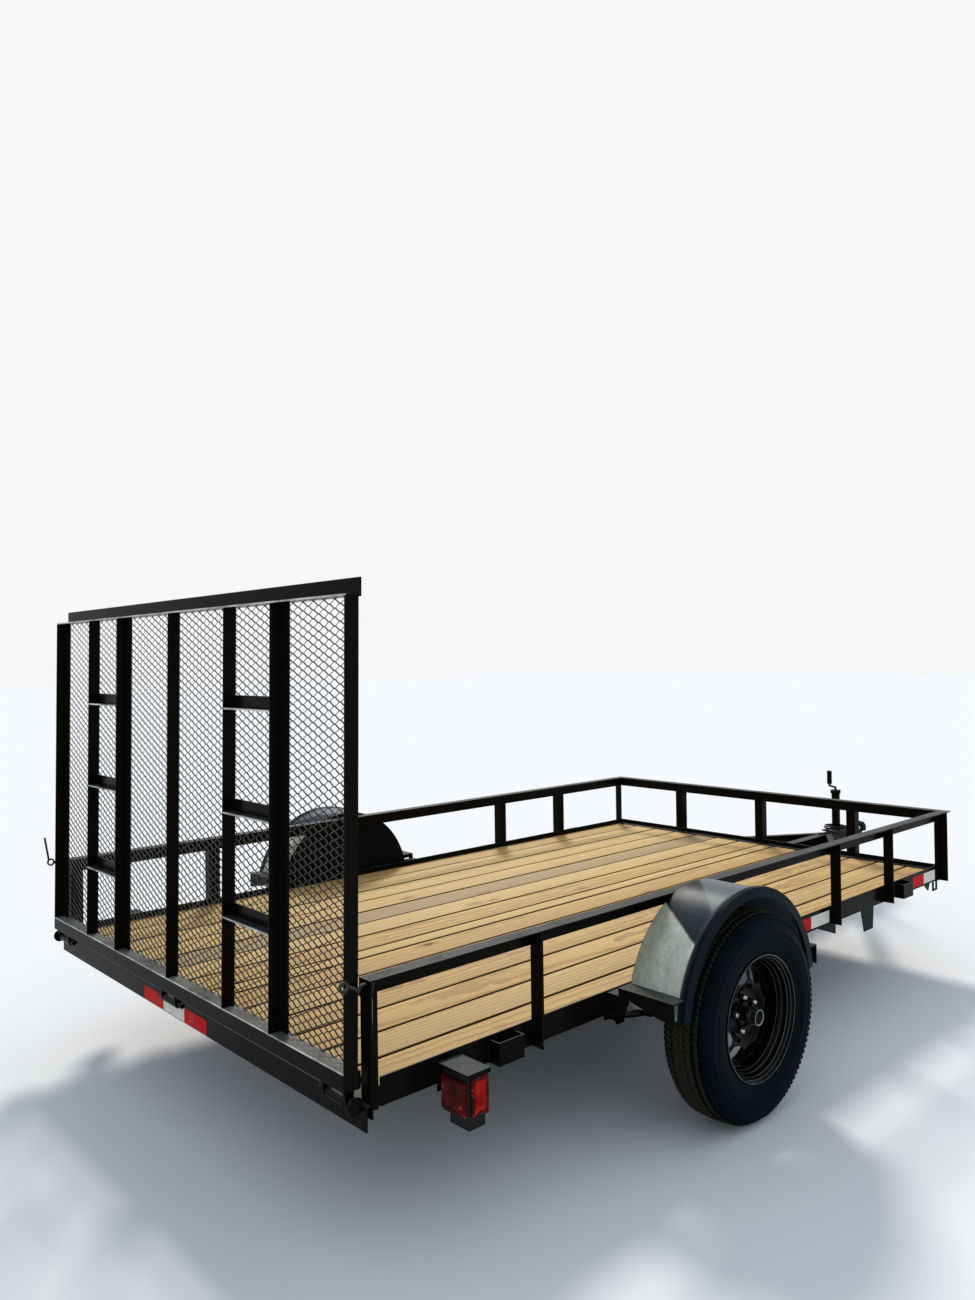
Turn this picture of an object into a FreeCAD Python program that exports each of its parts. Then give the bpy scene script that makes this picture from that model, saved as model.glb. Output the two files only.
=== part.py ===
"""Utility trailer with a ramp gate, built from named pieces in millimetres.

X runs forward to the coupler, Y to the left, Z up; the ground is z = 0.
Places along X are measured from the rear face of the sill. At the end everything moves
back by half of the whole length, so that the origin lies under the middle of the trailer.
"""
import FreeCAD, Part
import math
import os

os.makedirs("parts", exist_ok=True)
V = FreeCAD.Vector

# Steel sections
LEG = 50.0              # two-inch angle: rails, posts, crossmembers
T = 5.0                 # thickness of every angle
FRAME_LEG = 76.0        # three-inch angle: side frames and header
SILL_LEG = 64.0         # upright leg of the rear sill
G_LEG = 42.0            # angle of the gate's uprights

# Bed
HALF = 1022.0           # centre line to the outer face of the side frames
BED_FRONT = 3553.0      # front face of the header
FRAME_TOP = 468.0
FRAME_BOTTOM = FRAME_TOP - FRAME_LEG
DECK_TOP = 442.0
BOARD_T = 38.0
BOARD_BOTTOM = DECK_TOP - BOARD_T
BOARD_W = 139.7
BOARD_GAP = 11.2
BOARD_PLAY = 1.15       # boards to the side frames
RAIL_TOP = 738.0
RAIL_OUT = HALF + LEG - T
SILL_HALF = HALF + 43.0
SILL_TOP = 428.5
REAR_POST_X = 16.0

# Running gear
AXLE_X = 1403.0
TYRE_R = 344.5
AXLE_Z = TYRE_R
TYRE_W = 176.0
RIM_R = 208.0
FENDER_T = 3.0
FENDER_IN = RAIL_OUT + 2.0
FENDER_OUT = FENDER_IN + 224.0
TYRE_OUT = FENDER_OUT + 37.0        # the tyres stand out past the fenders
SKIN = TYRE_R + 39.5    # outer radius of the fender's skin
FENDER_Z = AXLE_Z + 29.5

PARTS = {}


def box(x0, x1, y0, y1, z0, z1):
    return Part.makeBox(x1 - x0, y1 - y0, z1 - z0, V(x0, y0, z0))


def prism(points, axis, a, b):
    """A flat outline pushed from a to b along an axis; x: (y, z), y: (x, z), z: (x, y)."""
    place = {"x": lambda p: V(a, p[0], p[1]), "y": lambda p: V(p[0], a, p[1]), "z": lambda p: V(p[0], p[1], a)}[axis]
    push = {"x": V(b - a, 0, 0), "y": V(0, b - a, 0), "z": V(0, 0, b - a)}[axis]
    corners = [place(p) for p in points]
    return Part.Face(Part.makePolygon(corners + corners[:1])).extrude(push)


def angle(u, v, du, dv, t=T):
    """Outline of an angle iron with its heel at (u, v) and its legs du and dv long, signed."""
    tu, tv = math.copysign(t, du), math.copysign(t, dv)
    return [(u, v), (u + du, v), (u + du, v + tv), (u + tu, v + tv), (u + tu, v + dv), (u, v + dv)]


def polygon(sides, r, turn=0.0):
    return [(r * math.cos(turn + 2 * math.pi * k / sides), r * math.sin(turn + 2 * math.pi * k / sides)) for k in range(sides)]


def bar(points, r, sides=10):
    """A bent bar swept through the points, with mitred corners."""
    pts = [V(*p) for p in points]
    along = (pts[1] - pts[0]).normalize()
    across = along.cross(V(0, 0, 1) if abs(along.z) < 0.9 else V(1, 0, 0)).normalize()
    up = along.cross(across)
    ring = [pts[0] + across * a + up * b for a, b in polygon(sides, r)]
    section = Part.makePolygon(ring + ring[:1])
    return Part.Wire(Part.makePolygon(pts).Edges).makePipeShell([section], True, False, 1)


def cylinder_y(r, x, z, y0, y1):
    return Part.makeCylinder(r, y1 - y0, V(x, y0, z), V(0, 1, 0))


def fuse(pieces):
    return pieces[0].multiFuse(pieces[1:]).removeSplitter() if len(pieces) > 1 else pieces[0]


def mirrored(shape):
    return shape.mirror(V(0, 0, 0), V(0, 1, 0))


def add(name, *shapes):
    PARTS.setdefault(name, []).extend(shapes)


def add_pair(name, *shapes):
    for s in shapes:
        add(name, s, mirrored(s))


# Frame
add_pair("side_frames", prism(angle(-HALF, FRAME_BOTTOM, FRAME_LEG, FRAME_LEG), "x", FRAME_LEG, BED_FRONT - T))
add("front_header", fuse([
    box(BED_FRONT - T, BED_FRONT, -HALF, HALF, FRAME_BOTTOM, FRAME_TOP),
    box(BED_FRONT - FRAME_LEG, BED_FRONT - T, -HALF + FRAME_LEG, HALF - FRAME_LEG, FRAME_BOTTOM, FRAME_BOTTOM + T)]))
CLAMP_W = 36.0
add("board_clamp", box(BED_FRONT - T - CLAMP_W, BED_FRONT - T, -HALF + T, HALF - T, DECK_TOP, DECK_TOP + T))
add("rear_sill", fuse([box(0, T, -SILL_HALF, SILL_HALF, SILL_TOP - SILL_LEG, SILL_TOP),
                       box(T, REAR_POST_X, -SILL_HALF, SILL_HALF, SILL_TOP - T, SILL_TOP),
                       box(REAR_POST_X, FRAME_LEG, -HALF, HALF, SILL_TOP - T, SILL_TOP)]))

# Deck boards, from the left, with one ripped board near the middle
room = 2 * (HALF - T - BOARD_PLAY)
whole = int((room + BOARD_GAP) // (BOARD_W + BOARD_GAP))
ripped = room - whole * (BOARD_W + BOARD_GAP)
widths = [BOARD_W] * whole
if ripped > 25:
    widths.insert((whole + 1) // 2, ripped)
left = (sum(widths) + BOARD_GAP * (len(widths) - 1)) / 2
for w in widths:
    add("deck_boards", box(FRAME_LEG + 3, BED_FRONT - T - 1, left - w, left, BOARD_BOTTOM, DECK_TOP))
    left -= w + BOARD_GAP

# Top rails: angles with the upright leg over the frame and the flat leg outward
add_pair("side_rails", prism([(-HALF + T, RAIL_TOP - LEG), (-HALF + T, RAIL_TOP), (-RAIL_OUT, RAIL_TOP), (-RAIL_OUT, RAIL_TOP - T),
                              (-HALF, RAIL_TOP - T), (-HALF, RAIL_TOP - LEG)], "x", REAR_POST_X, BED_FRONT - T))
RAIL_FRONT = BED_FRONT + LEG - T
add("front_rail", fuse([box(BED_FRONT - T, BED_FRONT, -HALF, HALF, RAIL_TOP - LEG, RAIL_TOP),
                        box(BED_FRONT - T, RAIL_FRONT, -RAIL_OUT, RAIL_OUT, RAIL_TOP - T, RAIL_TOP)]))

# Posts: angles, one leg flat on the frame, the other pointing out
POST_Z = (FRAME_BOTTOM, RAIL_TOP - T)
POST_2, POST_3_BACK, POST_4_BACK = 628.0, 1111.0, 613.0      # from the sill; the last two back from the header
CATCH_Y, CATCH_Z, CATCH_R = HALF + 28.0, RAIL_TOP - T - 6.0, 5.0
SIDE_POSTS = ((REAR_POST_X, LEG), (POST_2, LEG), (BED_FRONT - POST_3_BACK, LEG), (BED_FRONT - POST_4_BACK, LEG), (BED_FRONT, -LEG))
for x, leg in SIDE_POSTS:
    post = prism(angle(x, -HALF, leg, -(LEG - T)), "z", *POST_Z)
    if x == REAR_POST_X:
        post = post.cut(Part.makeCylinder(CATCH_R + 0.3, 3 * T, V(x - T, -CATCH_Y, CATCH_Z), V(1, 0, 0)))
    add_pair("rail_posts", post)
FRONT_POST_Y = 560.0
for y in (FRONT_POST_Y, 0.0, -FRONT_POST_Y):
    add("rail_posts", prism(angle(BED_FRONT, y - LEG / 2, LEG - T, LEG), "z", *POST_Z))

# Stake pockets, open at the top and the bottom
POCKET_L, POCKET_DEEP, POCKET_WALL = 100.0, 43.0, 4.0
POCKET_REAR, POCKET_FRONT_BACK = 456.0, 501.0
for x in (POCKET_REAR, BED_FRONT - POCKET_FRONT_BACK):
    outside = box(x, x + POCKET_L, -HALF - POCKET_DEEP, -HALF, FRAME_BOTTOM, FRAME_TOP - 10)
    inside = box(x + POCKET_WALL, x + POCKET_L - POCKET_WALL, -HALF - POCKET_DEEP + POCKET_WALL, -HALF + 1, FRAME_BOTTOM - 1, FRAME_TOP)
    add_pair("stake_pockets", outside.cut(inside))

# Small plates under the side frames and a tie loop at the front corner
TAB_L, TAB_H, TAB_BACK = 119.0, 97.0, 718.0
GUSSET_L, GUSSET_H, GUSSET_BACK = 155.0, 52.0, 1072.0
EAR_L, EAR_H, EAR_BACK = 63.0, 34.0, 111.0
# front edge, then the outline from it: (back, down)
PLATES = ((BED_FRONT - TAB_BACK, ((0, 0), (TAB_L, 0), (TAB_L - 27, TAB_H), (10, TAB_H))),
          (BED_FRONT - GUSSET_BACK, ((0, 0), (GUSSET_L, 0), (1, GUSSET_H))),
          (BED_FRONT - EAR_BACK, ((0, 0), (EAR_L, 0), (18, EAR_H))))
for x, outline in PLATES:
    add_pair("side_tabs", prism([(x - back, FRAME_BOTTOM - down) for back, down in outline], "y", -HALF, -HALF + T))
LOOP_BACK, LOOP_FRONT, LOOP_Y, LOOP_Z = BED_FRONT - 51, BED_FRONT - 11, HALF - 10, FRAME_BOTTOM - 46
add_pair("side_tabs", bar([(LOOP_BACK, -LOOP_Y, FRAME_BOTTOM), (LOOP_BACK, -LOOP_Y, LOOP_Z), (LOOP_FRONT, -LOOP_Y, LOOP_Z), (LOOP_FRONT, -LOOP_Y, FRAME_BOTTOM)], 5))

# Tail lamps on a steel guard: a plate above with a short lip, and a wall inboard
LAMP_X0, LAMP_X1 = 262.0, 345.0
LAMP_IN, LAMP_OUT = HALF + 24.0, HALF + 122.0
GUARD_OUT, GUARD_TOP = HALF + 127.0, 452.0
add_pair("lamp_guards", fuse([
    box(LAMP_X0, LAMP_X1, -GUARD_OUT, -HALF, GUARD_TOP - 4, GUARD_TOP),
    box(LAMP_X0, LAMP_X1, -GUARD_OUT, -GUARD_OUT + 3, GUARD_TOP - 12, GUARD_TOP - 4),
    box(LAMP_X0, LAMP_X1 - 4, -HALF - 4, -HALF, FRAME_BOTTOM - 20, GUARD_TOP - 4),
    box(LAMP_X1 - 4, LAMP_X1, -LAMP_OUT + 4, -HALF, FRAME_BOTTOM - 12, GUARD_TOP - 4)]))
add_pair("lamp_boxes", fuse([box(LAMP_X0 + 2, LAMP_X1 - 6, -LAMP_OUT, -LAMP_IN, 332, GUARD_TOP - 4),
                             box(LAMP_X0 + 18, LAMP_X1 - 7, -LAMP_OUT + 12, -LAMP_IN - 10, 296, 332)]))
rear_lens = prism([(-LAMP_IN - 2, 341), (-LAMP_IN - 2, 430), (-LAMP_OUT, 430), (-LAMP_OUT, 341)], "x", LAMP_X0 - 8, LAMP_X0 + 2)
side_lens = prism([(LAMP_X0 + 14, 338), (LAMP_X0 + 14, 439), (LAMP_X1 - 12, 439), (LAMP_X1 - 8, 432), (LAMP_X1 - 8, 345), (LAMP_X1 - 12, 338)],
                  "y", -LAMP_OUT - 8, -LAMP_OUT)
add_pair("lamp_lenses", rear_lens, side_lens)

# Fenders: a round shell with a rolled outer lip and a closed inner wall
LIP = [(FENDER_OUT - 40, SKIN), (FENDER_OUT - 18, SKIN + 10), (FENDER_OUT - 3, SKIN + 8), (FENDER_OUT, SKIN - 26)]
LIP_BACK = [(FENDER_OUT - 3, SKIN - 26), (FENDER_OUT - 6, SKIN + 5), (FENDER_OUT - 18, SKIN + 6.8), (FENDER_OUT - 39, SKIN - FENDER_T)]
FENDER_FROM, FENDER_TO = 7.0, 173.0


def turned(profile, a0, a1, cx, cz):
    """An outline of (y, radius) turned about a line along Y, from angle a0 to a1 above +X."""
    pts = [V(cx, -y, cz + r) for y, r in profile]
    face = Part.Face(Part.makePolygon(pts + pts[:1]))
    face.rotate(V(cx, 0, cz), V(0, 1, 0), 90 - a0)
    return face.revolve(V(cx, 0, cz), V(0, 1, 0), -(a1 - a0))


BRACKET_TOP = FENDER_Z + 115
shell = turned([(FENDER_IN, SKIN)] + LIP + LIP_BACK + [(FENDER_IN, SKIN - FENDER_T)], FENDER_FROM, FENDER_TO, AXLE_X, FENDER_Z)
wall = cylinder_y(SKIN - FENDER_T, AXLE_X, FENDER_Z, -FENDER_IN - FENDER_T, -FENDER_IN).common(
    box(AXLE_X - SKIN, AXLE_X + SKIN, -FENDER_IN - 4, -FENDER_IN + 1, FENDER_Z + 78, FENDER_Z + SKIN))
fender = fuse([shell, wall])
add("fender_right", fender)
add("fender_left", mirrored(fender))
# Brackets under the ends of the fenders: a flat top, a tapered leg and a filler back to the frame
BRACKET_OUT = FENDER_OUT - 10
inside_skin = turned([(FENDER_IN - 4, SKIN), (FENDER_OUT + 7, SKIN), (FENDER_OUT + 7, SKIN - 84), (FENDER_IN - 4, SKIN - 84)], FENDER_FROM, FENDER_TO, AXLE_X, FENDER_Z)
for s in (-1, 1):
    x0, x1 = sorted((AXLE_X + s * (SKIN + 46), AXLE_X + s * (SKIN - 27)))
    leg_x = (x0, x0 + T) if s < 0 else (x1 - T, x1)
    under = BRACKET_TOP - T
    leg = prism([(-FENDER_IN, under), (-BRACKET_OUT, under), (-BRACKET_OUT, under - 64), (-BRACKET_OUT + 103, under - 44), (-BRACKET_OUT + 183, under - 22), (-FENDER_IN, under - 18)],
                "x", *leg_x)
    bracket = fuse([box(x0, x1, -BRACKET_OUT, -FENDER_IN, under, BRACKET_TOP), leg, box(x0, x1, -FENDER_IN, -HALF, under - 64, under - 20),
                    box(leg_x[0], leg_x[1], -FENDER_IN - 30, -FENDER_IN, under - 64, under)])
    bracket = bracket.cut(inside_skin).cut(fender)
    add_pair("fender_brackets", max(bracket.Solids, key=lambda one: one.Volume))

# Axle, springs and hangers
SPRING_Y, SPRING_W = HALF - 56.0, 45.0
AXLE_R, SPINDLE_R = 30.0, 17.0
AXLE_END, SPINDLE_END = TYRE_OUT - 195, TYRE_OUT - 84
tube = cylinder_y(AXLE_R, AXLE_X, AXLE_Z, -AXLE_END, AXLE_END)
add("axle_beam", fuse([tube, cylinder_y(SPINDLE_R, AXLE_X, AXLE_Z, -SPINDLE_END, SPINDLE_END)]))
EYE_X, EYE_Z, EYE_R = 330.0, FRAME_BOTTOM - 40, 17.0
LEAF = 8.0
y0 = -SPRING_Y - SPRING_W / 2
y1 = y0 + SPRING_W
sag = EYE_Z - (AXLE_Z - AXLE_R - 4)
arc = [(AXLE_X + EYE_X * k / 6, EYE_Z - sag * (1 - (k / 6) ** 2)) for k in range(-6, 7)]
main = prism(arc + [(x, z - LEAF) for x, z in arc[::-1]], "y", y0, y1)
short = arc[3:-3]
second = prism([(x, z - LEAF) for x, z in short] + [(x, z - 2 * LEAF) for x, z in short[::-1]], "y", y0, y1)
seat = box(AXLE_X - 45, AXLE_X + 45, y0, y1, AXLE_Z - AXLE_R - 26, AXLE_Z - AXLE_R + 6)
plate = box(AXLE_X - 50, AXLE_X + 50, y0 - 8, y1 + 8, AXLE_Z - AXLE_R - 32, AXLE_Z - AXLE_R - 23)
eyes = [prism([(AXLE_X + s * EYE_X + a, EYE_Z - 2 + b) for a, b in polygon(16, EYE_R)], "y", y0, y1) for s in (-1, 1)]
add_pair("leaf_springs", fuse([main, second, seat, plate] + eyes).cut(tube))
for s in (-1, 1):
    x = AXLE_X + s * EYE_X
    for yy in (y0 - 6, y1):
        add_pair("spring_hangers", prism([(x - 38, FRAME_BOTTOM), (x + 38, FRAME_BOTTOM), (x + 18, EYE_Z - 22), (x - 18, EYE_Z - 22)], "y", yy, yy + 6))

# Wheels: hub, rim, tyre, nuts and cap, turning about the spindles.
# Profiles are (depth from the tyre's outer face, radius).
DISC_OUT = TYRE_OUT - 84     # outer face of the rim's disc
RIM_LIP, RIM_SEAT, RIM_T = 8.0, 24.0, 6.0
RIM_BARREL = [(RIM_LIP, RIM_R), (RIM_SEAT, RIM_R - 24), (TYRE_W - RIM_SEAT, RIM_R - 24), (TYRE_W - RIM_LIP, RIM_R),
              (TYRE_W - RIM_SEAT - 3, RIM_R - 24 + RIM_T), (RIM_SEAT + 3, RIM_R - 24 + RIM_T)]
TYRE_SIDE = [(12.0, RIM_R - 3.5), (0.0, TYRE_R - 70), (28.0, TYRE_R)]


def ring(profile):
    pts = [V(AXLE_X, -TYRE_OUT + d, AXLE_Z + r) for d, r in profile]
    return Part.Face(Part.makePolygon(pts + pts[:1])).revolve(V(AXLE_X, 0, AXLE_Z), V(0, 1, 0), 360)


def about_axle(shape, deg):
    s = shape.copy()
    s.rotate(V(AXLE_X, 0, AXLE_Z), V(0, 1, 0), deg)
    return s


def disc(r, inner, outer):
    return cylinder_y(r, AXLE_X, AXLE_Z, -outer, -inner)


HUB_R, HUB_IN, HUB_OUT = 42.0, TYRE_OUT - 160, DISC_OUT + 6
web = disc(RIM_R - 22, DISC_OUT - 6, DISC_OUT)
WINDOWS, WINDOW_IN, WINDOW_OUT, WINDOW_TURN = 10, RIM_R - 102, RIM_R - 56, -10.0
for k in range(WINDOWS):
    outline = [(AXLE_X - 26, AXLE_Z + WINDOW_OUT), (AXLE_X + 26, AXLE_Z + WINDOW_OUT), (AXLE_X + 17, AXLE_Z + WINDOW_IN), (AXLE_X - 17, AXLE_Z + WINDOW_IN)]
    web = web.cut(about_axle(prism(outline, "y", -DISC_OUT - 2, -DISC_OUT + 8), WINDOW_TURN + 360.0 * k / WINDOWS))
web = web.cut(disc(HUB_R + 0.2, DISC_OUT - 8, DISC_OUT + 2))
rim = fuse([ring(RIM_BARREL), web])
tyre = ring(TYRE_SIDE + [(TYRE_W - d, r) for d, r in TYRE_SIDE[::-1]])
hub = fuse([disc(HUB_R, HUB_IN, HUB_OUT), disc(76, DISC_OUT - 20, DISC_OUT - 6)]).cut(disc(SPINDLE_R + 0.05, HUB_IN - 1, SPINDLE_END + 1))
NUTS, NUT_CIRCLE, NUT_R, NUT_H, NUT_TURN = 5, 57.15, 11.5, 21.0, 99.0
nuts = []
for k in range(NUTS):
    a = math.radians(NUT_TURN + 360 * k / NUTS)
    px, pz = AXLE_X + NUT_CIRCLE * math.cos(a), AXLE_Z + NUT_CIRCLE * math.sin(a)
    nuts.append(prism([(px + u, pz + v) for u, v in polygon(6, NUT_R)], "y", -DISC_OUT - NUT_H, -DISC_OUT))
CAP_R, CAP_H = 27.0, 58.0
cap = disc(CAP_R, HUB_OUT, HUB_OUT + CAP_H).cut(disc(CAP_R - 6, HUB_OUT + CAP_H - 14, HUB_OUT + CAP_H + 1))
for nm, shapes in (("hub", [hub]), ("rim", [rim]), ("tyre", [tyre]), ("lug_nuts", nuts), ("hub_cap", [cap])):
    add(nm + "_right", *shapes)
    add(nm + "_left", *[mirrored(s) for s in shapes])

# Tongue under the frame: a straight beam and two angled braces
TONGUE_H = 76.0
TONGUE_TOP = FRAME_BOTTOM
TONGUE_BOTTOM = TONGUE_TOP - TONGUE_H
TONGUE_HALF = 27.5
JACK_X = BED_FRONT + 924
BALL_X = JACK_X + 338
BEAM_BACK, BEAM_FRONT = BED_FRONT - 773, JACK_X - 45
beam = box(BEAM_BACK, BEAM_FRONT, -TONGUE_HALF, TONGUE_HALF, TONGUE_BOTTOM, TONGUE_TOP)
add("tongue_beam", beam)
BRACE_X, BRACE_Y, SLOPE, BRACE_LEG = BED_FRONT - 543, HALF - 192, -0.627, 38.0
n = math.hypot(1, SLOPE)
nx, ny = -SLOPE / n, 1 / n


def strip(inset0, inset1, z0, z1):
    """A strip along the brace between two distances outward from its inner face."""
    def meet(d):
        return (BRACE_X + nx * d + (TONGUE_HALF - BRACE_Y - ny * d) / SLOPE, TONGUE_HALF)
    return prism([(BRACE_X + nx * inset0, BRACE_Y + ny * inset0), meet(inset0), meet(inset1), (BRACE_X + nx * inset1, BRACE_Y + ny * inset1)], "z", z0, z1)


brace = fuse([strip(0, T, TONGUE_BOTTOM, TONGUE_TOP), strip(0, BRACE_LEG, TONGUE_TOP - T, TONGUE_TOP), strip(0, BRACE_LEG, TONGUE_BOTTOM, TONGUE_BOTTOM + T)]).cut(beam)
add_pair("tongue_braces", brace)

# Crossmembers: angles under the boards, legs down, notched round the tongue
CROSS_N, CROSS_FIRST, CROSS_LAST = 7, 330.0, BED_FRONT - 313
for k in range(CROSS_N):
    x = CROSS_FIRST + (CROSS_LAST - CROSS_FIRST) * k / (CROSS_N - 1)
    member = fuse([box(x, x + LEG, -HALF + T, HALF - T, BOARD_BOTTOM - T, BOARD_BOTTOM),
                   box(x, x + T, -HALF + FRAME_LEG, HALF - FRAME_LEG, BOARD_BOTTOM - LEG, BOARD_BOTTOM - T)])
    add("crossmembers", member.cut(beam).cut(brace).cut(mirrored(brace)))

# Jack, between the beam and the nose that carries the coupler
JACK_R, JACK_BORE = 25.4, 22.0
JACK_TOP = 655.0
add("tongue_nose", box(JACK_X + 48, BALL_X - 35, -TONGUE_HALF, TONGUE_HALF, TONGUE_BOTTOM, TONGUE_TOP))
add_pair("tongue_nose", box(BEAM_FRONT - 60, JACK_X + 183, -TONGUE_HALF - 6, -TONGUE_HALF, TONGUE_BOTTOM + 8, TONGUE_TOP - 8))


def post_z(r, z0, z1):
    return Part.makeCylinder(r, z1 - z0, V(JACK_X, 0, z0))


add("jack_plate", box(JACK_X - 77, JACK_X + 123, -60, 60, TONGUE_TOP, TONGUE_TOP + 8).cut(post_z(JACK_R + 0.02, TONGUE_TOP - 1, TONGUE_TOP + 9)))
add("jack_tube", fuse([post_z(JACK_R, 250, JACK_TOP), post_z(JACK_R + 6, JACK_TOP - 22, JACK_TOP)]).cut(post_z(JACK_BORE, 249, JACK_TOP - 45)))
CRANK_ARM, CRANK_Y = 66.0, 6.0
crank = bar([(JACK_X, 0, JACK_TOP), (JACK_X, 0, JACK_TOP + 16), (JACK_X - CRANK_ARM, CRANK_Y, JACK_TOP + 34), (JACK_X - CRANK_ARM, CRANK_Y, JACK_TOP + 46)], 7, 8)
grip = prism([(JACK_X - CRANK_ARM + a, CRANK_Y + b) for a, b in polygon(16, 15)], "z", JACK_TOP + 45, JACK_TOP + 129)
add("jack_crank", fuse([crank, grip]))
FOOT_T = 12.0
add("jack_leg", fuse([post_z(JACK_BORE - 0.05, FOOT_T / 2, 350), prism([(JACK_X + a, b) for a, b in polygon(24, 56)], "z", 0, FOOT_T)]))

# Coupler: a shell over the ball, on the tongue nose
BALL_R, SHELL_R, SKIRT, CROWN = 26.0, 34.0, TONGUE_TOP - 40, TONGUE_TOP + 14


def dome(r, z0, z1, z2, top_r):
    """A round cup upside down: a cylinder from z0 to z1 and a cone up to z2."""
    return fuse([Part.makeCylinder(r, z1 - z0, V(BALL_X, 0, z0)), Part.makeCone(r, top_r, z2 - z1, V(BALL_X, 0, z1))])


body = fuse([dome(SHELL_R, SKIRT, CROWN - 22, CROWN, SHELL_R - 14), box(BALL_X - 175, BALL_X, -20, 20, TONGUE_TOP, CROWN - 4),
             box(BALL_X - 35, BALL_X, -SHELL_R, SHELL_R, SKIRT, TONGUE_TOP)])
add("coupler_body", body.cut(dome(BALL_R, SKIRT - 1, SKIRT + 22, SKIRT + 38, BALL_R - 14)))
add("coupler_latch", fuse([box(BALL_X - 115, BALL_X - 15, -8, 8, CROWN - 4, CROWN + 8).cut(dome(SHELL_R, SKIRT, CROWN - 22, CROWN, SHELL_R - 14)),
                           box(BALL_X - 155, BALL_X - 103, -14, 14, CROWN + 2, CROWN + 9)]))

# Wiring cable: out of the top of the beam, two turns round the jack on its plate, and in to the plug
CABLE_R = 5.0
TURNS, TURN_POINTS, TURN_R = 2, 14, 76.0
PLATE_TOP = TONGUE_TOP + 8
route = [(-215, 4, 397.5), (-190, 4, 397.5), (-160, -6, 397.5), (-125, -31, 398), (-95, -59, 401), (-58, -76, 404.5)]
for k in range(TURNS * TURN_POINTS + 1):
    a = 2 * math.pi * k / TURN_POINTS - math.pi / 2
    r = TURN_R - 5.0 * k / TURN_POINTS
    route.append((r * math.cos(a), r * math.sin(a), PLATE_TOP + CABLE_R + 0.3 + (2 * CABLE_R + 0.6) * k / TURN_POINTS))
route += [(28, -54, 424), (45, -37, 415), (50, -23, 407), (50, -10.3, 405)]
add("wiring_coil", bar([(JACK_X + x, y, z) for x, y, z in route], CABLE_R, 8))
PLUG = ((44.5, 55.5), (-10, 38), (PLATE_TOP + 0.3, PLATE_TOP + 10.3))
add("wiring_plug", box(JACK_X + PLUG[0][0], JACK_X + PLUG[0][1], *PLUG[1], *PLUG[2]))

# Ramp gate: angles with the mesh on the front of the uprights
HX, HZ = -20.0, SILL_TOP + 2.5       # hinge line
LEAN = 1.0                  # the closed gate leans this many degrees forward
GX0 = -46.0
GX1 = GX0 + G_LEG
G_HALF = HALF + 14.0
G_BOTTOM = HZ + 35.0
G_SHELF = G_BOTTOM + 46.0
G_TALL = 1191.0
G_TOP = G_SHELF + G_TALL
add("gate_bottom_rail", prism(angle(GX0, G_SHELF, LEG, -(G_SHELF - G_BOTTOM)), "y", -G_HALF + T, G_HALF - T))
add("gate_top_rail", prism(angle(GX0 + LEG, G_TOP, -LEG, LEG), "y", -G_HALF, G_HALF))
outer = fuse([prism(angle(GX1, -G_HALF, -G_LEG, G_LEG), "z", G_SHELF, G_TOP), box(GX0, GX0 + LEG, -G_HALF, -G_HALF + T, G_BOTTOM, G_SHELF)])
add_pair("gate_uprights", outer)
# Inner uprights: place of the heel across the gate, side that the front leg points to
GATE_UPRIGHTS = ((680.0, 1), (417.0, -1), (-15.0, 1), (-398.0, 1), (-665.0, -1))
for y, side in GATE_UPRIGHTS:
    add("gate_uprights", prism(angle(GX1, y, -G_LEG, side * G_LEG), "z", G_SHELF, G_TOP))
# Rungs: the uprights they join, height of the lowest above the shelf, then evenly up
RUNGS, RUNG_STEP = 3, G_TALL * 0.26
GATE_RUNGS = ((GATE_UPRIGHTS[1][0], GATE_UPRIGHTS[0][0], 0.213), (GATE_UPRIGHTS[4][0], GATE_UPRIGHTS[3][0], 0.225))
for a, b, lowest in GATE_RUNGS:
    for k in range(RUNGS):
        z = G_SHELF + lowest * G_TALL + k * RUNG_STEP
        add("gate_rungs", fuse([box(GX0, GX1 - T, a, b, z, z + T), box(GX1 - 2 * T, GX1 - T, a, b, z + T, z + G_LEG)]))


def clip(poly, y0, y1, z0, z1):
    """Cut a flat outline down to a rectangle."""
    for k, lim, keep in ((0, y0, 1), (0, y1, -1), (1, z0, 1), (1, z1, -1)):
        out = []
        for i, p in enumerate(poly):
            q = poly[(i + 1) % len(poly)]
            a, b = (p[k] - lim) * keep, (q[k] - lim) * keep
            if a >= 0:
                out.append(p)
            if (a > 0) != (b > 0) and a != b:
                t = a / (a - b)
                out.append((p[0] + t * (q[0] - p[0]), p[1] + t * (q[1] - p[1])))
        poly = out
        if len(poly) < 3:
            return []
    return poly


def area(poly):
    return abs(sum(p[0] * q[1] - q[0] * p[1] for p, q in zip(poly, poly[1:] + poly[:1]))) / 2


MESH_SHORT, MESH_LONG, STRAND, MESH_T = 23.3, 51.0, 3.6, 1.5


def mesh_layer(x0, slope):
    """One direction of the expanded metal: a sheet with long slanted openings."""
    y0, y1, z0, z1 = -G_HALF + T, G_HALF - T, G_SHELF, G_TOP
    def sheet(pts):
        corners = [V(x0, p[0], p[1]) for p in pts]
        return Part.makePolygon(corners + corners[:1])
    wires = [sheet([(y0, z0), (y1, z0), (y1, z1), (y0, z1)])]
    edge = 12.0
    lo, hi = y0 + edge, y1 - edge
    reach = abs(slope) * (hi - lo)
    c = z0 - reach
    while c < z1 + reach:
        def line(y, dz):
            return (y, c + slope * (y - (lo if slope > 0 else hi)) + dz)
        poly = clip([line(lo, STRAND), line(hi, STRAND), line(hi, MESH_SHORT), line(lo, MESH_SHORT)], lo, hi, z0 + edge, z1 - edge)
        if len(poly) >= 3 and area(poly) > 150:
            wires.append(sheet(poly))
        c += MESH_SHORT
    return Part.Face(wires).extrude(V(MESH_T, 0, 0))


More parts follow.
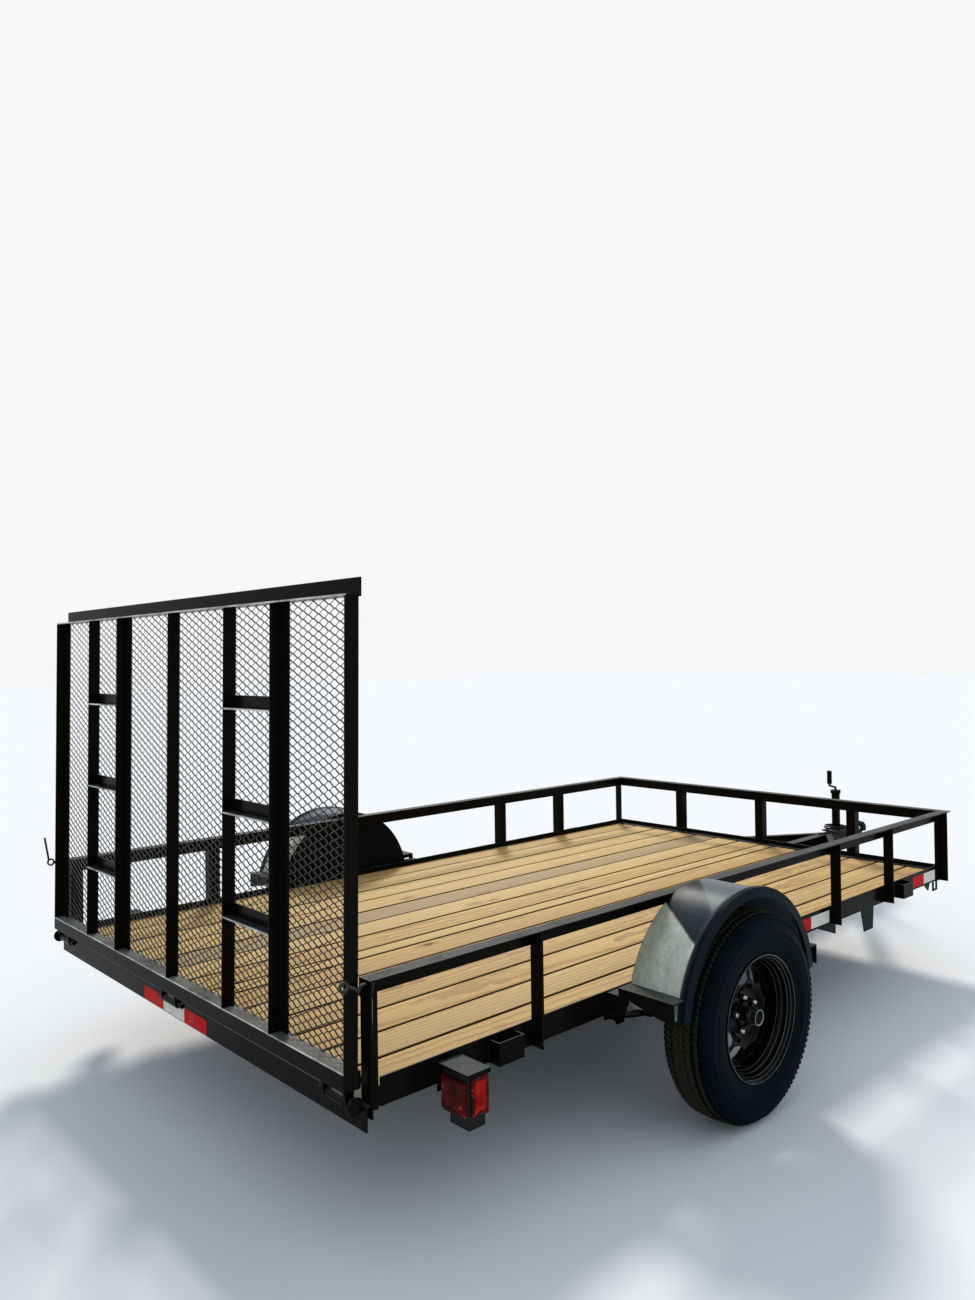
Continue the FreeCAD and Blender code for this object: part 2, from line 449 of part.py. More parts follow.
add("gate_mesh_rising", mesh_layer(GX1, MESH_SHORT / MESH_LONG))
add("gate_mesh_falling", mesh_layer(GX1 + MESH_T, -MESH_SHORT / MESH_LONG))

# Gate hinges: pins and cheeks on the gate, sleeves and end plates on the sill
PIN_R, PIN_PLAY, SLEEVE_R, SLEEVE_HALF, CHEEK_AT, CHEEK_T = 8.0, 0.06, 12.5, 40.0, 50.0, 10.0
END_PLATE_R, END_PLATE_T = 23.5, 6.0
END_PLATE_Y = G_HALF + 7
PIN_BACK = 81.0
for y in (-G_HALF + 68, 0.0, G_HALF - 68):
    pin_lo, pin_hi = y - PIN_BACK, y + PIN_BACK
    if y < 0:
        pin_lo = -END_PLATE_Y - END_PLATE_T
    if y > 0:
        pin_hi = END_PLATE_Y + END_PLATE_T
    cheeks = []
    for s in (-1, 1):
        yc = y + s * CHEEK_AT
        cheeks.append(prism([(GX0 + T, G_SHELF - T), (HX + 14, G_SHELF - T), (HX + 12, HZ - 5), (HX + 6, HZ - 12), (HX - 6, HZ - 12), (HX - 12, HZ - 5)],
                            "y", yc - CHEEK_T / 2, yc + CHEEK_T / 2))
    add("gate_hinge_pins", fuse([cylinder_y(PIN_R, HX, HZ, pin_lo, pin_hi)] + cheeks))
    sleeve = fuse([cylinder_y(SLEEVE_R, HX, HZ, y - SLEEVE_HALF, y + SLEEVE_HALF),
                   box(HX, 0, y - SLEEVE_HALF, y + SLEEVE_HALF, SILL_TOP - 10, SILL_TOP)])
    add("hinge_sleeves", sleeve.cut(cylinder_y(PIN_R + PIN_PLAY, HX, HZ, y - SLEEVE_HALF - 1, y + SLEEVE_HALF + 1)))
end_plate = cylinder_y(END_PLATE_R, HX, HZ, -END_PLATE_Y - END_PLATE_T, -END_PLATE_Y).common(box(HX - END_PLATE_R, 0, -END_PLATE_Y - END_PLATE_T, -END_PLATE_Y, HZ - END_PLATE_R, HZ + END_PLATE_R))
add_pair("hinge_sleeves", end_plate.cut(cylinder_y(PIN_R + PIN_PLAY, HX, HZ, -END_PLATE_Y - END_PLATE_T - 1, -END_PLATE_Y + 1)))

# Catches: a bent bar through each rear post to a ring behind the gate, with a handle
RING_X, RING_R = -52.0, 15.0
through = [(REAR_POST_X + 20, CATCH_Z), (0.0, CATCH_Z), (-8.0, CATCH_Z - 11), (RING_X + RING_R - 2, CATCH_Z + 6)]
handles = {-1: [(REAR_POST_X + 20, CATCH_Z), (REAR_POST_X + 13, CATCH_Z - 30), (REAR_POST_X + 13, CATCH_Z - 135)],
           1: [(RING_X - 8, CATCH_Z + 18), (RING_X - 23, CATCH_Z + 110)]}
for s, handle in handles.items():
    y = s * CATCH_Y
    eye = prism([(RING_X + a, CATCH_Z + 8 + b) for a, b in polygon(16, RING_R)], "y", y - 4, y + 4).cut(
        prism([(RING_X + a, CATCH_Z + 8 + b) for a, b in polygon(16, RING_R - 6)], "y", y - 5, y + 5))
    add("gate_catches", fuse([bar([(x, y, z) for x, z in through], CATCH_R), eye, bar([(x, y, z) for x, z in handle], CATCH_R - 1)]))

# The closed gate leans forward a little about its hinge
for name in PARTS:
    if name.startswith("gate_") and name != "gate_catches":
        for s in PARTS[name]:
            s.rotate(V(HX, 0, HZ), V(0, 1, 0), LEAN)

x_lo = min(s.BoundBox.XMin for shapes in PARTS.values() for s in shapes)
x_hi = max(s.BoundBox.XMax for shapes in PARTS.values() for s in shapes)
for name, shapes in PARTS.items():
    moved = []
    for s in shapes:
        s = s.copy()
        s.translate(V(-(x_lo + x_hi) / 2, 0, 0))
        moved.append(s)
    shape = moved[0] if len(moved) == 1 else Part.makeCompound(moved)
    shape.exportStep("parts/%s.step" % name)
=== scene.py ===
"""The dressed utility trailer: paint, planks, wheels, mesh, lamps, tape and cable on the CAD frame.

Bed places are in millimetres: x from the rear face of the sill, y to the left, z from the ground.
Material masks are in metres, in the row frame, as Object coordinates are.
"""
import bpy
import bmesh
import math
import random
from mathutils import Matrix, Vector


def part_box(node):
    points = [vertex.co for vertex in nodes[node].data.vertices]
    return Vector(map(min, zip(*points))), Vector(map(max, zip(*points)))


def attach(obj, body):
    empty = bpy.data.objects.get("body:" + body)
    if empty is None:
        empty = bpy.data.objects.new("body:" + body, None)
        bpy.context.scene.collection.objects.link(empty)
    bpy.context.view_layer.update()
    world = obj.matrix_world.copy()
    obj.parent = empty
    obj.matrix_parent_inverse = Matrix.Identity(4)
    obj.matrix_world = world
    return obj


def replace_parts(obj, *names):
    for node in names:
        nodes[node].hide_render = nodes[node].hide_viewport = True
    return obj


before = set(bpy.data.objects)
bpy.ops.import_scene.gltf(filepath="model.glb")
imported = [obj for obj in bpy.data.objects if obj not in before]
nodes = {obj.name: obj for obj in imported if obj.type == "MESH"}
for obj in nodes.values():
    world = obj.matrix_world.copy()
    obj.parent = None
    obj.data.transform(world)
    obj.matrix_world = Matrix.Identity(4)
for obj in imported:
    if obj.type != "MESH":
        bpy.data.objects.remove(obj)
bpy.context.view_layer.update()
scene = bpy.context.scene
SILL_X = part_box("rear_sill")[0].x
SIDES = (("right", -1), ("left", 1))

# Frame: half width and thickness of the angle irons, their legs, and the heights of frame, deck and rails
HALF, T, FRAME_LEG, LEG = 1022.0, 5.0, 76.0, 50.0
FRAME_BOTTOM, FRAME_TOP, DECK_TOP, RAIL_TOP, BED_FRONT = 392.0, 468.0, 442.0, 738.0, 3553.0
# Wheels: radius, outer face and width of the tyre, the axle's place, and the height of the fender's centre
TYRE_R, TYRE_OUT, TYRE_W, AXLE_X, FENDER_Z = 344.5, 1330.0, 176.0, 1403.0, 374.0
# Gate: its lean, its hinge, and the foot of its rear face
LEAN, HINGE_X, HINGE_Z, GATE_REAR, GATE_FOOT = math.radians(1.0), -20.0, 431.0, -46.0, 466.0
# Jack: its place on the beam and the top of its plate
JACK_X, PLATE_TOP = 4477.0, 400.0


def at(x, y, z):
    """A bed place as a point of the row frame, in metres."""
    return Vector((SILL_X + x / 1000, y / 1000, z / 1000))


HUB = at(AXLE_X, 0, TYRE_R)


# Camera
yaw, pitch, roll = (math.radians(a) for a in (47.2207, 0.4843, -0.8018))
ahead = Vector((math.cos(yaw) * math.cos(pitch), math.sin(yaw) * math.cos(pitch), math.sin(pitch)))
right = Vector((math.sin(yaw), -math.cos(yaw), 0))
above = right.cross(ahead)
level = right * math.cos(roll) + above * math.sin(roll)
upright = above * math.cos(roll) - right * math.sin(roll)
camera = bpy.data.objects.new("camera", bpy.data.cameras.new("camera"))
camera.data.lens = 26.43
camera.data.sensor_width = 36
turned = Matrix((level, upright, -ahead)).transposed().to_4x4()
camera.matrix_world = Matrix.Translation(at(-1383.6, -3027.1, 1541.3)) @ turned
scene.collection.objects.link(camera)
scene.camera = camera


# Cable: out of the beam's top, two turns round the jack, and in to the plug; its x is from the jack
CABLE_R, TURNS, TURN_POINTS, TURN_R, TURN_SHRINK = 5.0, 2, 14, 76.0, 5.0
TURN_RISE, PLATE_GAP = 2 * CABLE_R + 0.6, 0.3
CABLE_OUT = ((-215, 4, 397.5), (-190, 4, 397.5), (-160, -6, 397.5), (-125, -31, 398), (-95, -59, 401),
             (-58, -76, 404.5))
CABLE_IN = ((28, -54, 424), (45, -37, 415), (50, -23, 407), (50, -10.3, 405))


def cable():
    route = list(CABLE_OUT)
    for k in range(TURNS * TURN_POINTS + 1):
        a = 2 * math.pi * k / TURN_POINTS - math.pi / 2
        r = TURN_R - TURN_SHRINK * k / TURN_POINTS
        z = PLATE_TOP + CABLE_R + PLATE_GAP + TURN_RISE * k / TURN_POINTS
        route.append((r * math.cos(a), r * math.sin(a), z))
    route += CABLE_IN
    curve = bpy.data.curves.new("cable", "CURVE")
    curve.dimensions = "3D"
    curve.bevel_depth, curve.bevel_resolution, curve.use_fill_caps = 1.0, 4, True
    line = curve.splines.new("NURBS")
    line.points.add(len(route) - 1)
    for point, (x, y, z) in zip(line.points, route):
        # The spline's own radius carries the thickness: its sections are one metre thick times this
        point.co, point.radius = (*at(JACK_X + x, y, z), 1), CABLE_R / 1000
    line.order_u, line.use_endpoint_u, line.resolution_u = 3, True, 6
    ob = bpy.data.objects.new("cable", curve)
    scene.collection.objects.link(ob)
    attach(ob, "chassis")
    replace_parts(ob, "wiring_coil")
    return ob


cable_piece = cable()


# Material helpers
def node(tree, kind, ins=None, **settings):
    made = tree.nodes.new("ShaderNode" + kind)
    for key, value in settings.items():
        setattr(made, key, value)
    for key, value in (ins or {}).items():
        if isinstance(value, bpy.types.NodeSocket):
            tree.links.new(value, made.inputs[key])
        else:
            made.inputs[key].default_value = value
    return made


def ramp(tree, factor, *stops):
    made = node(tree, "ValToRGB", {"Fac": factor})
    bands = made.color_ramp.elements
    while len(bands) < len(stops):
        bands.new(0.5)
    for band, (place, colour) in zip(bands, stops):
        band.position = place
        band.color = (*colour, 1) if isinstance(colour, tuple) else (colour, colour, colour, 1)
    return made.outputs["Color"]


def mixed(tree, factor, a, b, blend="MIX"):
    made = node(tree, "Mix", {"Factor": factor}, data_type="RGBA", blend_type=blend)
    for key, value in ((6, a), (7, b)):
        if isinstance(value, bpy.types.NodeSocket):
            tree.links.new(value, made.inputs[key])
        else:
            made.inputs[key].default_value = (*value, 1)
    return made.outputs[2]


def maths(tree, kind, a, b=0.0, c=0.0):
    return node(tree, "Math", {0: a, 1: b, 2: c}, operation=kind).outputs[0]


def times(tree, a, b):
    return maths(tree, "MULTIPLY", a, b)


def inverted(tree, mask):
    """Where the mask isn't."""
    return maths(tree, "SUBTRACT", 1.0, mask)


def ranged(tree, value, start, end, low, high):
    """low up to start and high from end on, with a straight change between them."""
    ins = {"Value": value, "From Min": start, "From Max": end, "To Min": low, "To Max": high}
    return node(tree, "MapRange", ins).outputs["Result"]


def eased(tree, value, start, end):
    """0 up to start and 1 from end on, with a soft change between them."""
    ins = {"Value": value, "From Min": start, "From Max": end}
    return node(tree, "MapRange", ins, interpolation_type="SMOOTHSTEP").outputs["Result"]


def scaled(tree, vector, scale):
    return node(tree, "VectorMath", {0: vector, 1: scale}, operation="MULTIPLY").outputs[0]


def place_of(tree):
    return node(tree, "TexCoord").outputs["Object"]


def axes(tree):
    return node(tree, "SeparateXYZ", {0: place_of(tree)}).outputs


def upward(tree, normal):
    return node(tree, "SeparateXYZ", {0: node(tree, "NewGeometry").outputs[normal]}).outputs["Z"]


def noise(tree, scale, detail, roughness=0.5, vector=None):
    ins = {"Vector": vector or place_of(tree), "Scale": scale, "Detail": detail, "Roughness": roughness}
    return node(tree, "TexNoise", ins).outputs["Fac"]


def cells(tree, scale, **settings):
    """Distance from the middles of cells, in even rows where a distance is named."""
    ins = {"Vector": place_of(tree), "Scale": scale, "Randomness": 0.0 if settings else 1.0}
    return node(tree, "TexVoronoi", ins, **settings).outputs["Distance"]


def material(name, **fixed):
    made = bpy.data.materials.new(name)
    made.use_nodes = True
    tree = made.node_tree
    shader = tree.nodes["Principled BSDF"]
    for key, value in fixed.items():
        shader.inputs[key.replace("_", " ")].default_value = value
    return made, tree, shader


def dressed(tree, shader, colour, roughness=None, height=None, distance=0.0, strength=1.0):
    """Joins a colour, a roughness and a height to the shader."""
    tree.links.new(colour, shader.inputs["Base Color"])
    if roughness:
        tree.links.new(roughness, shader.inputs["Roughness"])
    if height:
        bump = node(tree, "Bump", {"Height": height, "Distance": distance, "Strength": strength})
        tree.links.new(bump.outputs["Normal"], shader.inputs["Normal"])


# Paint
# Colour of the highlights painted on edges and rings
HIGHLIGHT_GREY = (0.78, 0.78, 0.74)


def painted(name, base, dust_and_light, rough=(0.16, 0.3), *, dust, specular=0.03, painted_highlight=None):
    """Enamel on steel: thin dust where it faces up, in some colours with a painted sky sheen; uneven gloss
    and a faint orange peel.

    The last argument gives a mask of painted highlights on edges and rings, as a function of the node tree.
    """
    made, tree, shader = material(name, Specular_IOR_Level=specular)
    cloud = noise(tree, 7.0, 6.0, 0.65)
    fine = noise(tree, 160.0, 3.0)
    up = ranged(tree, upward(tree, "Normal"), 0.2, 1.0, 0.0, dust)
    amount = times(tree, up, ramp(tree, cloud, (0.35, 0.25), (0.7, 1.0)))
    speck = times(tree, ramp(tree, fine, (0.62, 0.0), (0.72, 0.35)), up)
    tint = mixed(tree, speck, mixed(tree, amount, base, dust_and_light), dust_and_light)
    if painted_highlight:
        highlit = times(tree, painted_highlight(tree), ramp(tree, cloud, (0.30, 0.15), (0.50, 0.7), (0.62, 1.0)))
        tint = mixed(tree, highlit, tint, HIGHLIGHT_GREY)
    gloss = maths(tree, "ADD", ranged(tree, cloud, 0.3, 0.75, *rough), times(tree, amount, 0.5))
    dressed(tree, shader, tint, gloss, fine, 0.00012)
    return made


def gate_edge_highlights(tree):
    """Painted highlights along the rearmost edges of the leaning gate's angle irons."""
    xyz, foot, slope = axes(tree), at(GATE_REAR, 0, GATE_FOOT), math.tan(LEAN)
    unleaned = maths(tree, "ADD", xyz["X"], maths(tree, "MULTIPLY_ADD", xyz["Z"], -slope, slope * foot.z))
    return inverted(tree, eased(tree, unleaned, foot.x + 0.0008, foot.x + 0.0022))


def rail_edge_highlight(tree):
    """A painted highlight along the upper rear edge of the gate's bottom rail."""
    xyz = axes(tree)
    low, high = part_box("gate_bottom_rail")
    rear = low.x + math.tan(LEAN) * (high.z - low.z)
    upper = eased(tree, xyz["Z"], high.z - 0.0032, high.z - 0.0014)
    return times(tree, upper, eased(tree, xyz["X"], rear + 0.0040, rear + 0.0025))


# Painted highlight rings on the rim: depth from the tyre's outer face, strength;
# and half of each one's width, full and faded
RINGS = (0.0078, 0.22), (0.0175, 0.16), (0.028, 0.26), (0.0455, 0.14), (0.060, 0.22)
RING_WIDTH = 0.0002, 0.0011


def rim_ring_highlights(tree):
    """Painted highlights: thin bright rings on the rim's lip and steps."""
    depth = maths(tree, "SUBTRACT", TYRE_OUT / 1000, maths(tree, "ABSOLUTE", axes(tree)["Y"]))
    found = 0.0
    for ring, strength in RINGS:
        near = maths(tree, "ABSOLUTE", maths(tree, "SUBTRACT", depth, ring))
        line = times(tree, inverted(tree, eased(tree, near, *RING_WIDTH)), strength)
        found = maths(tree, "MAXIMUM", found, line)
    return found


HANDLE_LOW, HANDLE_HIGH, HANDLE_X = (0.622, 0.630), (0.694, 0.686), (24, 26)


def catch_handle_highlight(tree):
    """A painted highlight on the middle of the right catch's hanging handle."""
    xyz = axes(tree)
    between = times(tree, eased(tree, xyz["Z"], *HANDLE_LOW), eased(tree, xyz["Z"], *HANDLE_HIGH))
    return times(tree, between, eased(tree, xyz["X"], *(at(x, 0, 0).x for x in HANDLE_X)))


# The frame's dust colour on faces that look up carries a painted bluish sheen of the sky
FRAME_BLACK, FRAME_DUST_AND_SHEEN = (0.0052, 0.0045, 0.0030), (0.125, 0.135, 0.135)
black = painted("frame_paint", FRAME_BLACK, FRAME_DUST_AND_SHEEN, dust=0.5)
# Gate rungs and top rail: painted highlights on their rearmost edges
gate_highlit_paint = painted("gate_paint", (0.0038, 0.0036, 0.0028), FRAME_DUST_AND_SHEEN, dust=0.5, painted_highlight=gate_edge_highlights)
# Gate's bottom rail: a painted sky sheen with some dust on its top, a painted highlight on its upper rear edge
rail_paint = painted("rail_paint", FRAME_BLACK, (0.34, 0.34, 0.31), dust=0.7, painted_highlight=rail_edge_highlight)
# Lamp guards: on their tops, dust with a painted bluish sheen of the sky
guard_paint = painted("guard_paint", (0.0045, 0.0050, 0.0052), (0.045, 0.062, 0.070), dust=0.6)
bracket_paint = painted("bracket_paint", (0.006, 0.0058, 0.0048), (0.16, 0.158, 0.135), (0.3, 0.45), dust=0.8)
mesh_black = painted("mesh_paint", (0.006, 0.006, 0.006), (0.06, 0.057, 0.05), (0.28, 0.42),
                     dust=0.1, specular=0.3)
# Rims: painted highlight rings on the lip and steps
rim_paint = painted("rim_paint", (0.0014, 0.0016, 0.0018), (0.014, 0.014, 0.013), (0.07, 0.14),
                    dust=0.1, specular=0.05, painted_highlight=rim_ring_highlights)
# Catches: a painted highlight on the right one's hanging handle
catch_paint = painted("catch_paint", (0.004, 0.004, 0.004), (0.2, 0.2, 0.19), (0.10, 0.18),
                      dust=0.5, specular=0.25, painted_highlight=catch_handle_highlight)

# Fender, by distance from the trailer's middle plane: the inner web, the fold of the outer lip, the lip,
# and where the painted shade of the rail starts and ends on the sheet and on the film of dust
WEB, FOLD, LIP = (1.0695, 1.0715), (1.257, 1.264), (1.264, 1.282)
SHEET_SHADE, FILM_SHADE = (1.16, 1.075), (1.20, 1.08)
# Slanting edges of the film and of the painted sky sheen, both edges of the painted rail shade: slope and
# offset, over that distance, of minus the edge's angle behind the wheel's top, in radians
FILM_EDGE, SHEEN_EDGE = (-1.80, 1.451), (-2.88, 3.123)


def fender_skin():
    """Blue-black sheet, with a painted grey sheen of the sky on top and painted shade of the rail across it,
    and low behind the wheel a pale film of dried road dust, made paler by painted light.
    """
    made, tree, shader = material("fender_paint", Specular_IOR_Level=0.025)
    xyz, centre = axes(tree), at(AXLE_X, 0, FENDER_Z)
    out = maths(tree, "ABSOLUTE", xyz["Y"])
    behind, over = maths(tree, "SUBTRACT", centre.x, xyz["X"]), maths(tree, "SUBTRACT", xyz["Z"], centre.z)
    back = maths(tree, "ARCTAN2", behind, over)
    cloud = noise(tree, 11.0, 7.0, 0.62, scaled(tree, place_of(tree), (1, 1, 0.45)))
    run = noise(tree, 70.0, 3.0, vector=scaled(tree, place_of(tree), (1, 1, 0.08)))
    fleck = cells(tree, 62.0)
    flat = times(tree, eased(tree, out, *WEB), inverted(tree, eased(tree, out, *FOLD)))
    waved = maths(tree, "ADD", back, maths(tree, "MULTIPLY_ADD", cloud, 0.05, -0.025))
    past_film = maths(tree, "ADD", maths(tree, "MULTIPLY_ADD", out, *FILM_EDGE), waved)
    past_sheen = maths(tree, "ADD", maths(tree, "MULTIPLY_ADD", out, *SHEEN_EDGE), back)
    low = eased(tree, past_film, 0.0, 0.035)
    high = inverted(tree, eased(tree, past_sheen, -0.03, 0.03))
    # The film low behind the wheel: dried dust, made paler by painted light
    film = mixed(tree, ramp(tree, cloud, (0.35, 0.0), (0.62, 1.0)), (0.56, 0.55, 0.46), (0.84, 0.82, 0.73))
    film = mixed(tree, ramp(tree, run, (0.52, 0.0), (0.66, 0.4)), film, (0.38, 0.385, 0.33))
    film = mixed(tree, ramp(tree, fleck, (0.08, 0.6), (0.14, 0.0)), film, (0.75, 0.75, 0.70))
    # Painted shade of the rail on the film, towards the trailer
    film = mixed(tree, eased(tree, out, *FILM_SHADE), film, (0.55, 0.57, 0.51), "MULTIPLY")
    # Painted sheen of the sky on the top, beyond the rail's painted shade
    patches = ramp(tree, cloud, (0.35, 0.0), (0.7, 1.0))
    sky_sheen = mixed(tree, patches, (0.110, 0.134, 0.150), (0.168, 0.192, 0.205))
    faded = ramp(tree, cloud, (0.4, 0.0), (0.7, 0.5))
    sheet = mixed(tree, faded, (0.024, 0.036, 0.048), (0.054, 0.074, 0.090))
    # Painted shade of the rail on the sheet, near black towards the trailer
    sheet = mixed(tree, eased(tree, out, *SHEET_SHADE), sheet, (0.006, 0.006, 0.006))
    sheet = mixed(tree, times(tree, high, flat), sheet, sky_sheen)
    sheet = mixed(tree, eased(tree, out, *LIP), sheet, (0.005, 0.010, 0.016))
    sheet = mixed(tree, ramp(tree, fleck, (0.045, 0.5), (0.08, 0.0)), sheet, (0.17, 0.18, 0.18))
    dust_and_light = times(tree, low, flat)
    rough = ranged(tree, maths(tree, "ADD", dust_and_light, cloud), 0.3, 1.6, 0.28, 0.6)
    dressed(tree, shader, mixed(tree, dust_and_light, sheet, film), rough, noise(tree, 240.0, 2.0), 0.00012)
    return made


# Wood, rubber, metal and plastic
KNOT_CELLS, KNOT_REACH = (2.3, 5.2, 0.0), 0.22
HEART_TURN, RING_STRETCH = (0.0, 0.021, 0.012), (0.22, 1.0, 1.0)


def pine():
    """Flat-sawn pine: rings about a heart line that runs slightly out of the board, with knots."""
    made, tree, shader = material("pine", Specular_IOR_Level=0.14)
    own = node(tree, "Attribute", attribute_name="grain").outputs["Vector"]
    shade = node(tree, "Attribute", attribute_name="tone").outputs["Vector"]
    tone = node(tree, "SeparateXYZ", {0: shade}).outputs
    moved = node(tree, "VectorMath", {0: place_of(tree), 1: own}, operation="ADD").outputs[0]
    spots = {"Vector": scaled(tree, moved, KNOT_CELLS), "Scale": 1.0, "Randomness": 0.95}
    knot = node(tree, "TexVoronoi", spots, feature="F1").outputs["Distance"]
    around = ramp(tree, knot, (0.0, 1.0), (KNOT_REACH, 0.0))
    rise = {"Z": times(tree, around, 0.02), "Y": times(tree, around, 0.012)}
    bulge = node(tree, "CombineXYZ", rise).outputs[0]
    swept = node(tree, "VectorMath", {0: moved, 1: bulge}, operation="ADD").outputs[0]
    ins = {"Vector": swept, "Rotation": HEART_TURN}
    heart = node(tree, "VectorRotate", ins, rotation_type="EULER_XYZ").outputs[0]
    wave = {"Vector": scaled(tree, heart, RING_STRETCH), "Scale": 15.0, "Distortion": 3.0, "Detail": 3.0,
            "Detail Scale": 3.0, "Detail Roughness": 0.55}
    rings = node(tree, "TexWave", wave,
                 wave_type="RINGS", rings_direction="X", wave_profile="SAW").outputs["Fac"]
    streak = noise(tree, 1.0, 4.0, 0.6, scaled(tree, moved, (5.0, 420.0, 420.0)))
    cloud = noise(tree, 1.6, 3.0, vector=scaled(tree, moved, (1.0, 4.0, 4.0)))
    late = ramp(tree, rings, (0.0, 0.0), (0.5, 0.12), (0.80, 0.62), (0.93, 0.72), (1.0, 0.25))
    wood = mixed(tree, late, (0.71, 0.455, 0.148), (0.22, 0.090, 0.018))
    streaks = times(tree, ramp(tree, streak, (0.35, 1.0), (0.62, 0.0)), 0.42)
    wood = mixed(tree, streaks, wood, (0.33, 0.165, 0.05))
    wood = mixed(tree, ramp(tree, cloud, (0.3, 0.5), (0.65, 0.0)), wood, (0.47, 0.28, 0.10))
    wood = mixed(tree, tone["X"], wood, (0.30, 0.235, 0.14))
    wood = mixed(tree, tone["Y"], wood, (0.75, 0.53, 0.215))
    wood = mixed(tree, ramp(tree, knot, (0.06, 0.0), (0.09, 0.75), (0.15, 0.0)), wood, (0.34, 0.15, 0.04))
    wood = mixed(tree, ramp(tree, knot, (0.045, 1.0), (0.075, 0.0)), wood, (0.10, 0.04, 0.014))
    # Painted shade: the boards' sides and ends, down in the gaps between them, are darkened
    sides = ramp(tree, upward(tree, "True Normal"), (0.55, 1.0), (0.93, 0.0))
    wood = mixed(tree, sides, wood, (0.050, 0.028, 0.010))
    grain = maths(tree, "ADD", times(tree, rings, 0.6), streak)
    dressed(tree, shader, wood, ranged(tree, streak, 0.0, 1.0, 0.5, 0.8), grain, 0.0005)
    return made


TREAD_START, TREAD_FULL = 0.3355, 0.3400


def rubber():
    """Blue-black rubber, its blue a painted sheen of the sky, with olive dust trodden into the tread."""
    made, tree, shader = material("tyre_rubber", Specular_IOR_Level=0.016)
    cloud, grit, xyz = noise(tree, 9.0, 5.0), noise(tree, 420.0, 2.0), axes(tree)
    along, up = maths(tree, "SUBTRACT", xyz["X"], HUB.x), maths(tree, "SUBTRACT", xyz["Z"], HUB.z)
    radius = maths(tree, "SQRT", maths(tree, "ADD", times(tree, along, along), times(tree, up, up)))
    # The rubber's black, tinted with a painted blue sheen of the sky
    clean = ramp(tree, cloud, (0.3, (0.0008, 0.0040, 0.0064)), (0.7, (0.0026, 0.0078, 0.0108)))
    trodden = ramp(tree, grit, (0.35, (0.012, 0.0115, 0.0075)), (0.7, (0.052, 0.049, 0.031)))
    colour = mixed(tree, eased(tree, radius, TREAD_START, TREAD_FULL), clean, trodden)
    dressed(tree, shader, colour, ranged(tree, cloud, 0.0, 1.0, 0.42, 0.62), grit, 0.0002)
    return made


def metal(name, base, rough):
    made, tree, shader = material(name, Metallic=1.0)
    grain = noise(tree, 60.0, 6.0, 0.7)
    darker = tuple(c * 0.72 for c in base)
    colour = ramp(tree, grain, (0.35, darker), (0.65, base))
    dressed(tree, shader, colour, ranged(tree, grain, 0.0, 1.0, *rough), grain, 0.00008)
    return made


def plastic(name, base, rough):
    made, tree, shader = material(name, Specular_IOR_Level=0.14)
    cloud = noise(tree, 12.0, 4.0)
    lighter = tuple(c * 1.7 + 0.001 for c in base)
    colour = ramp(tree, cloud, (0.35, base), (0.75, lighter))
    dressed(tree, shader, colour, ranged(tree, cloud, 0.0, 1.0, *rough), noise(tree, 500.0, 2.0), 0.00015)
    return made


def red_lens(name, deep, middle, glint):
    """Red plastic over fine prisms, with wandering painted glints where they would catch the light."""
    made, tree, shader = material(name, Specular_IOR_Level=0.06, Roughness=0.12)
    cloud = noise(tree, 24.0, 3.0)
    wave = {"Vector": place_of(tree), "Scale": 9.0, "Distortion": 11.0, "Detail": 3.0, "Detail Scale": 5.0}
    wander = node(tree, "TexWave", wave, wave_profile="SIN").outputs["Fac"]
    prisms = cells(tree, 330.0, distance="CHEBYCHEV")
    # Painted glints
    crests = ramp(tree, wander, (0.955, 0.0), (0.995, 0.8))
    glints = times(tree, crests, ramp(tree, cloud, (0.45, 0.1), (0.6, 1.0)))
    red = mixed(tree, glints, ramp(tree, cloud, (0.35, deep), (0.65, middle)), glint)
    red = mixed(tree, ramp(tree, prisms, (0.3, 0.0), (0.5, 0.35)), red, deep)
    dressed(tree, shader, red, None, prisms, 0.0004, 0.5)
    return made


def reflector(name, middle, edge):
    """Reflecting tape: small cells, darker at their edges, under a film that has picked up some grime."""
    made, tree, shader = material(name, Specular_IOR_Level=0.015, Roughness=0.35)
    edges = ramp(tree, cells(tree, 260.0, distance="MANHATTAN"), (0.3, 0.0), (0.5, 1.0))
    colour = mixed(tree, edges, middle, edge)
    grime = ramp(tree, noise(tree, 30.0, 5.0), (0.5, 0.0), (0.8, 0.2))
    dressed(tree, shader, mixed(tree, grime, colour, (0.25, 0.22, 0.19)))
    return made


fender_paint, pine_wood, tyre_rubber = fender_skin(), pine(), rubber()
chrome = metal("chrome", (0.44, 0.45, 0.46), (0.05, 0.13))
zinc = metal("zinc_plate", (0.46, 0.47, 0.48), (0.28, 0.45))
cap_steel = metal("cap_steel", (0.24, 0.27, 0.265), (0.22, 0.38))
black_plastic = plastic("black_plastic", (0.005, 0.005, 0.005), (0.4, 0.6))
cable_plastic = plastic("cable_plastic", (0.0035, 0.0035, 0.004), (0.35, 0.5))
lens_red = red_lens("lens_red", (0.035, 0.0009, 0.0009), (0.14, 0.0035, 0.003), (0.75, 0.09, 0.07))
lens_bright = red_lens("lens_bright", (0.25, 0.005, 0.003), (0.48, 0.012, 0.006), (0.80, 0.10, 0.05))
tape_red = reflector("tape_red", (0.78, 0.020, 0.024), (0.62, 0.010, 0.014))
tape_white = reflector("tape_white", (0.90, 0.88, 0.80), (0.82, 0.80, 0.73))

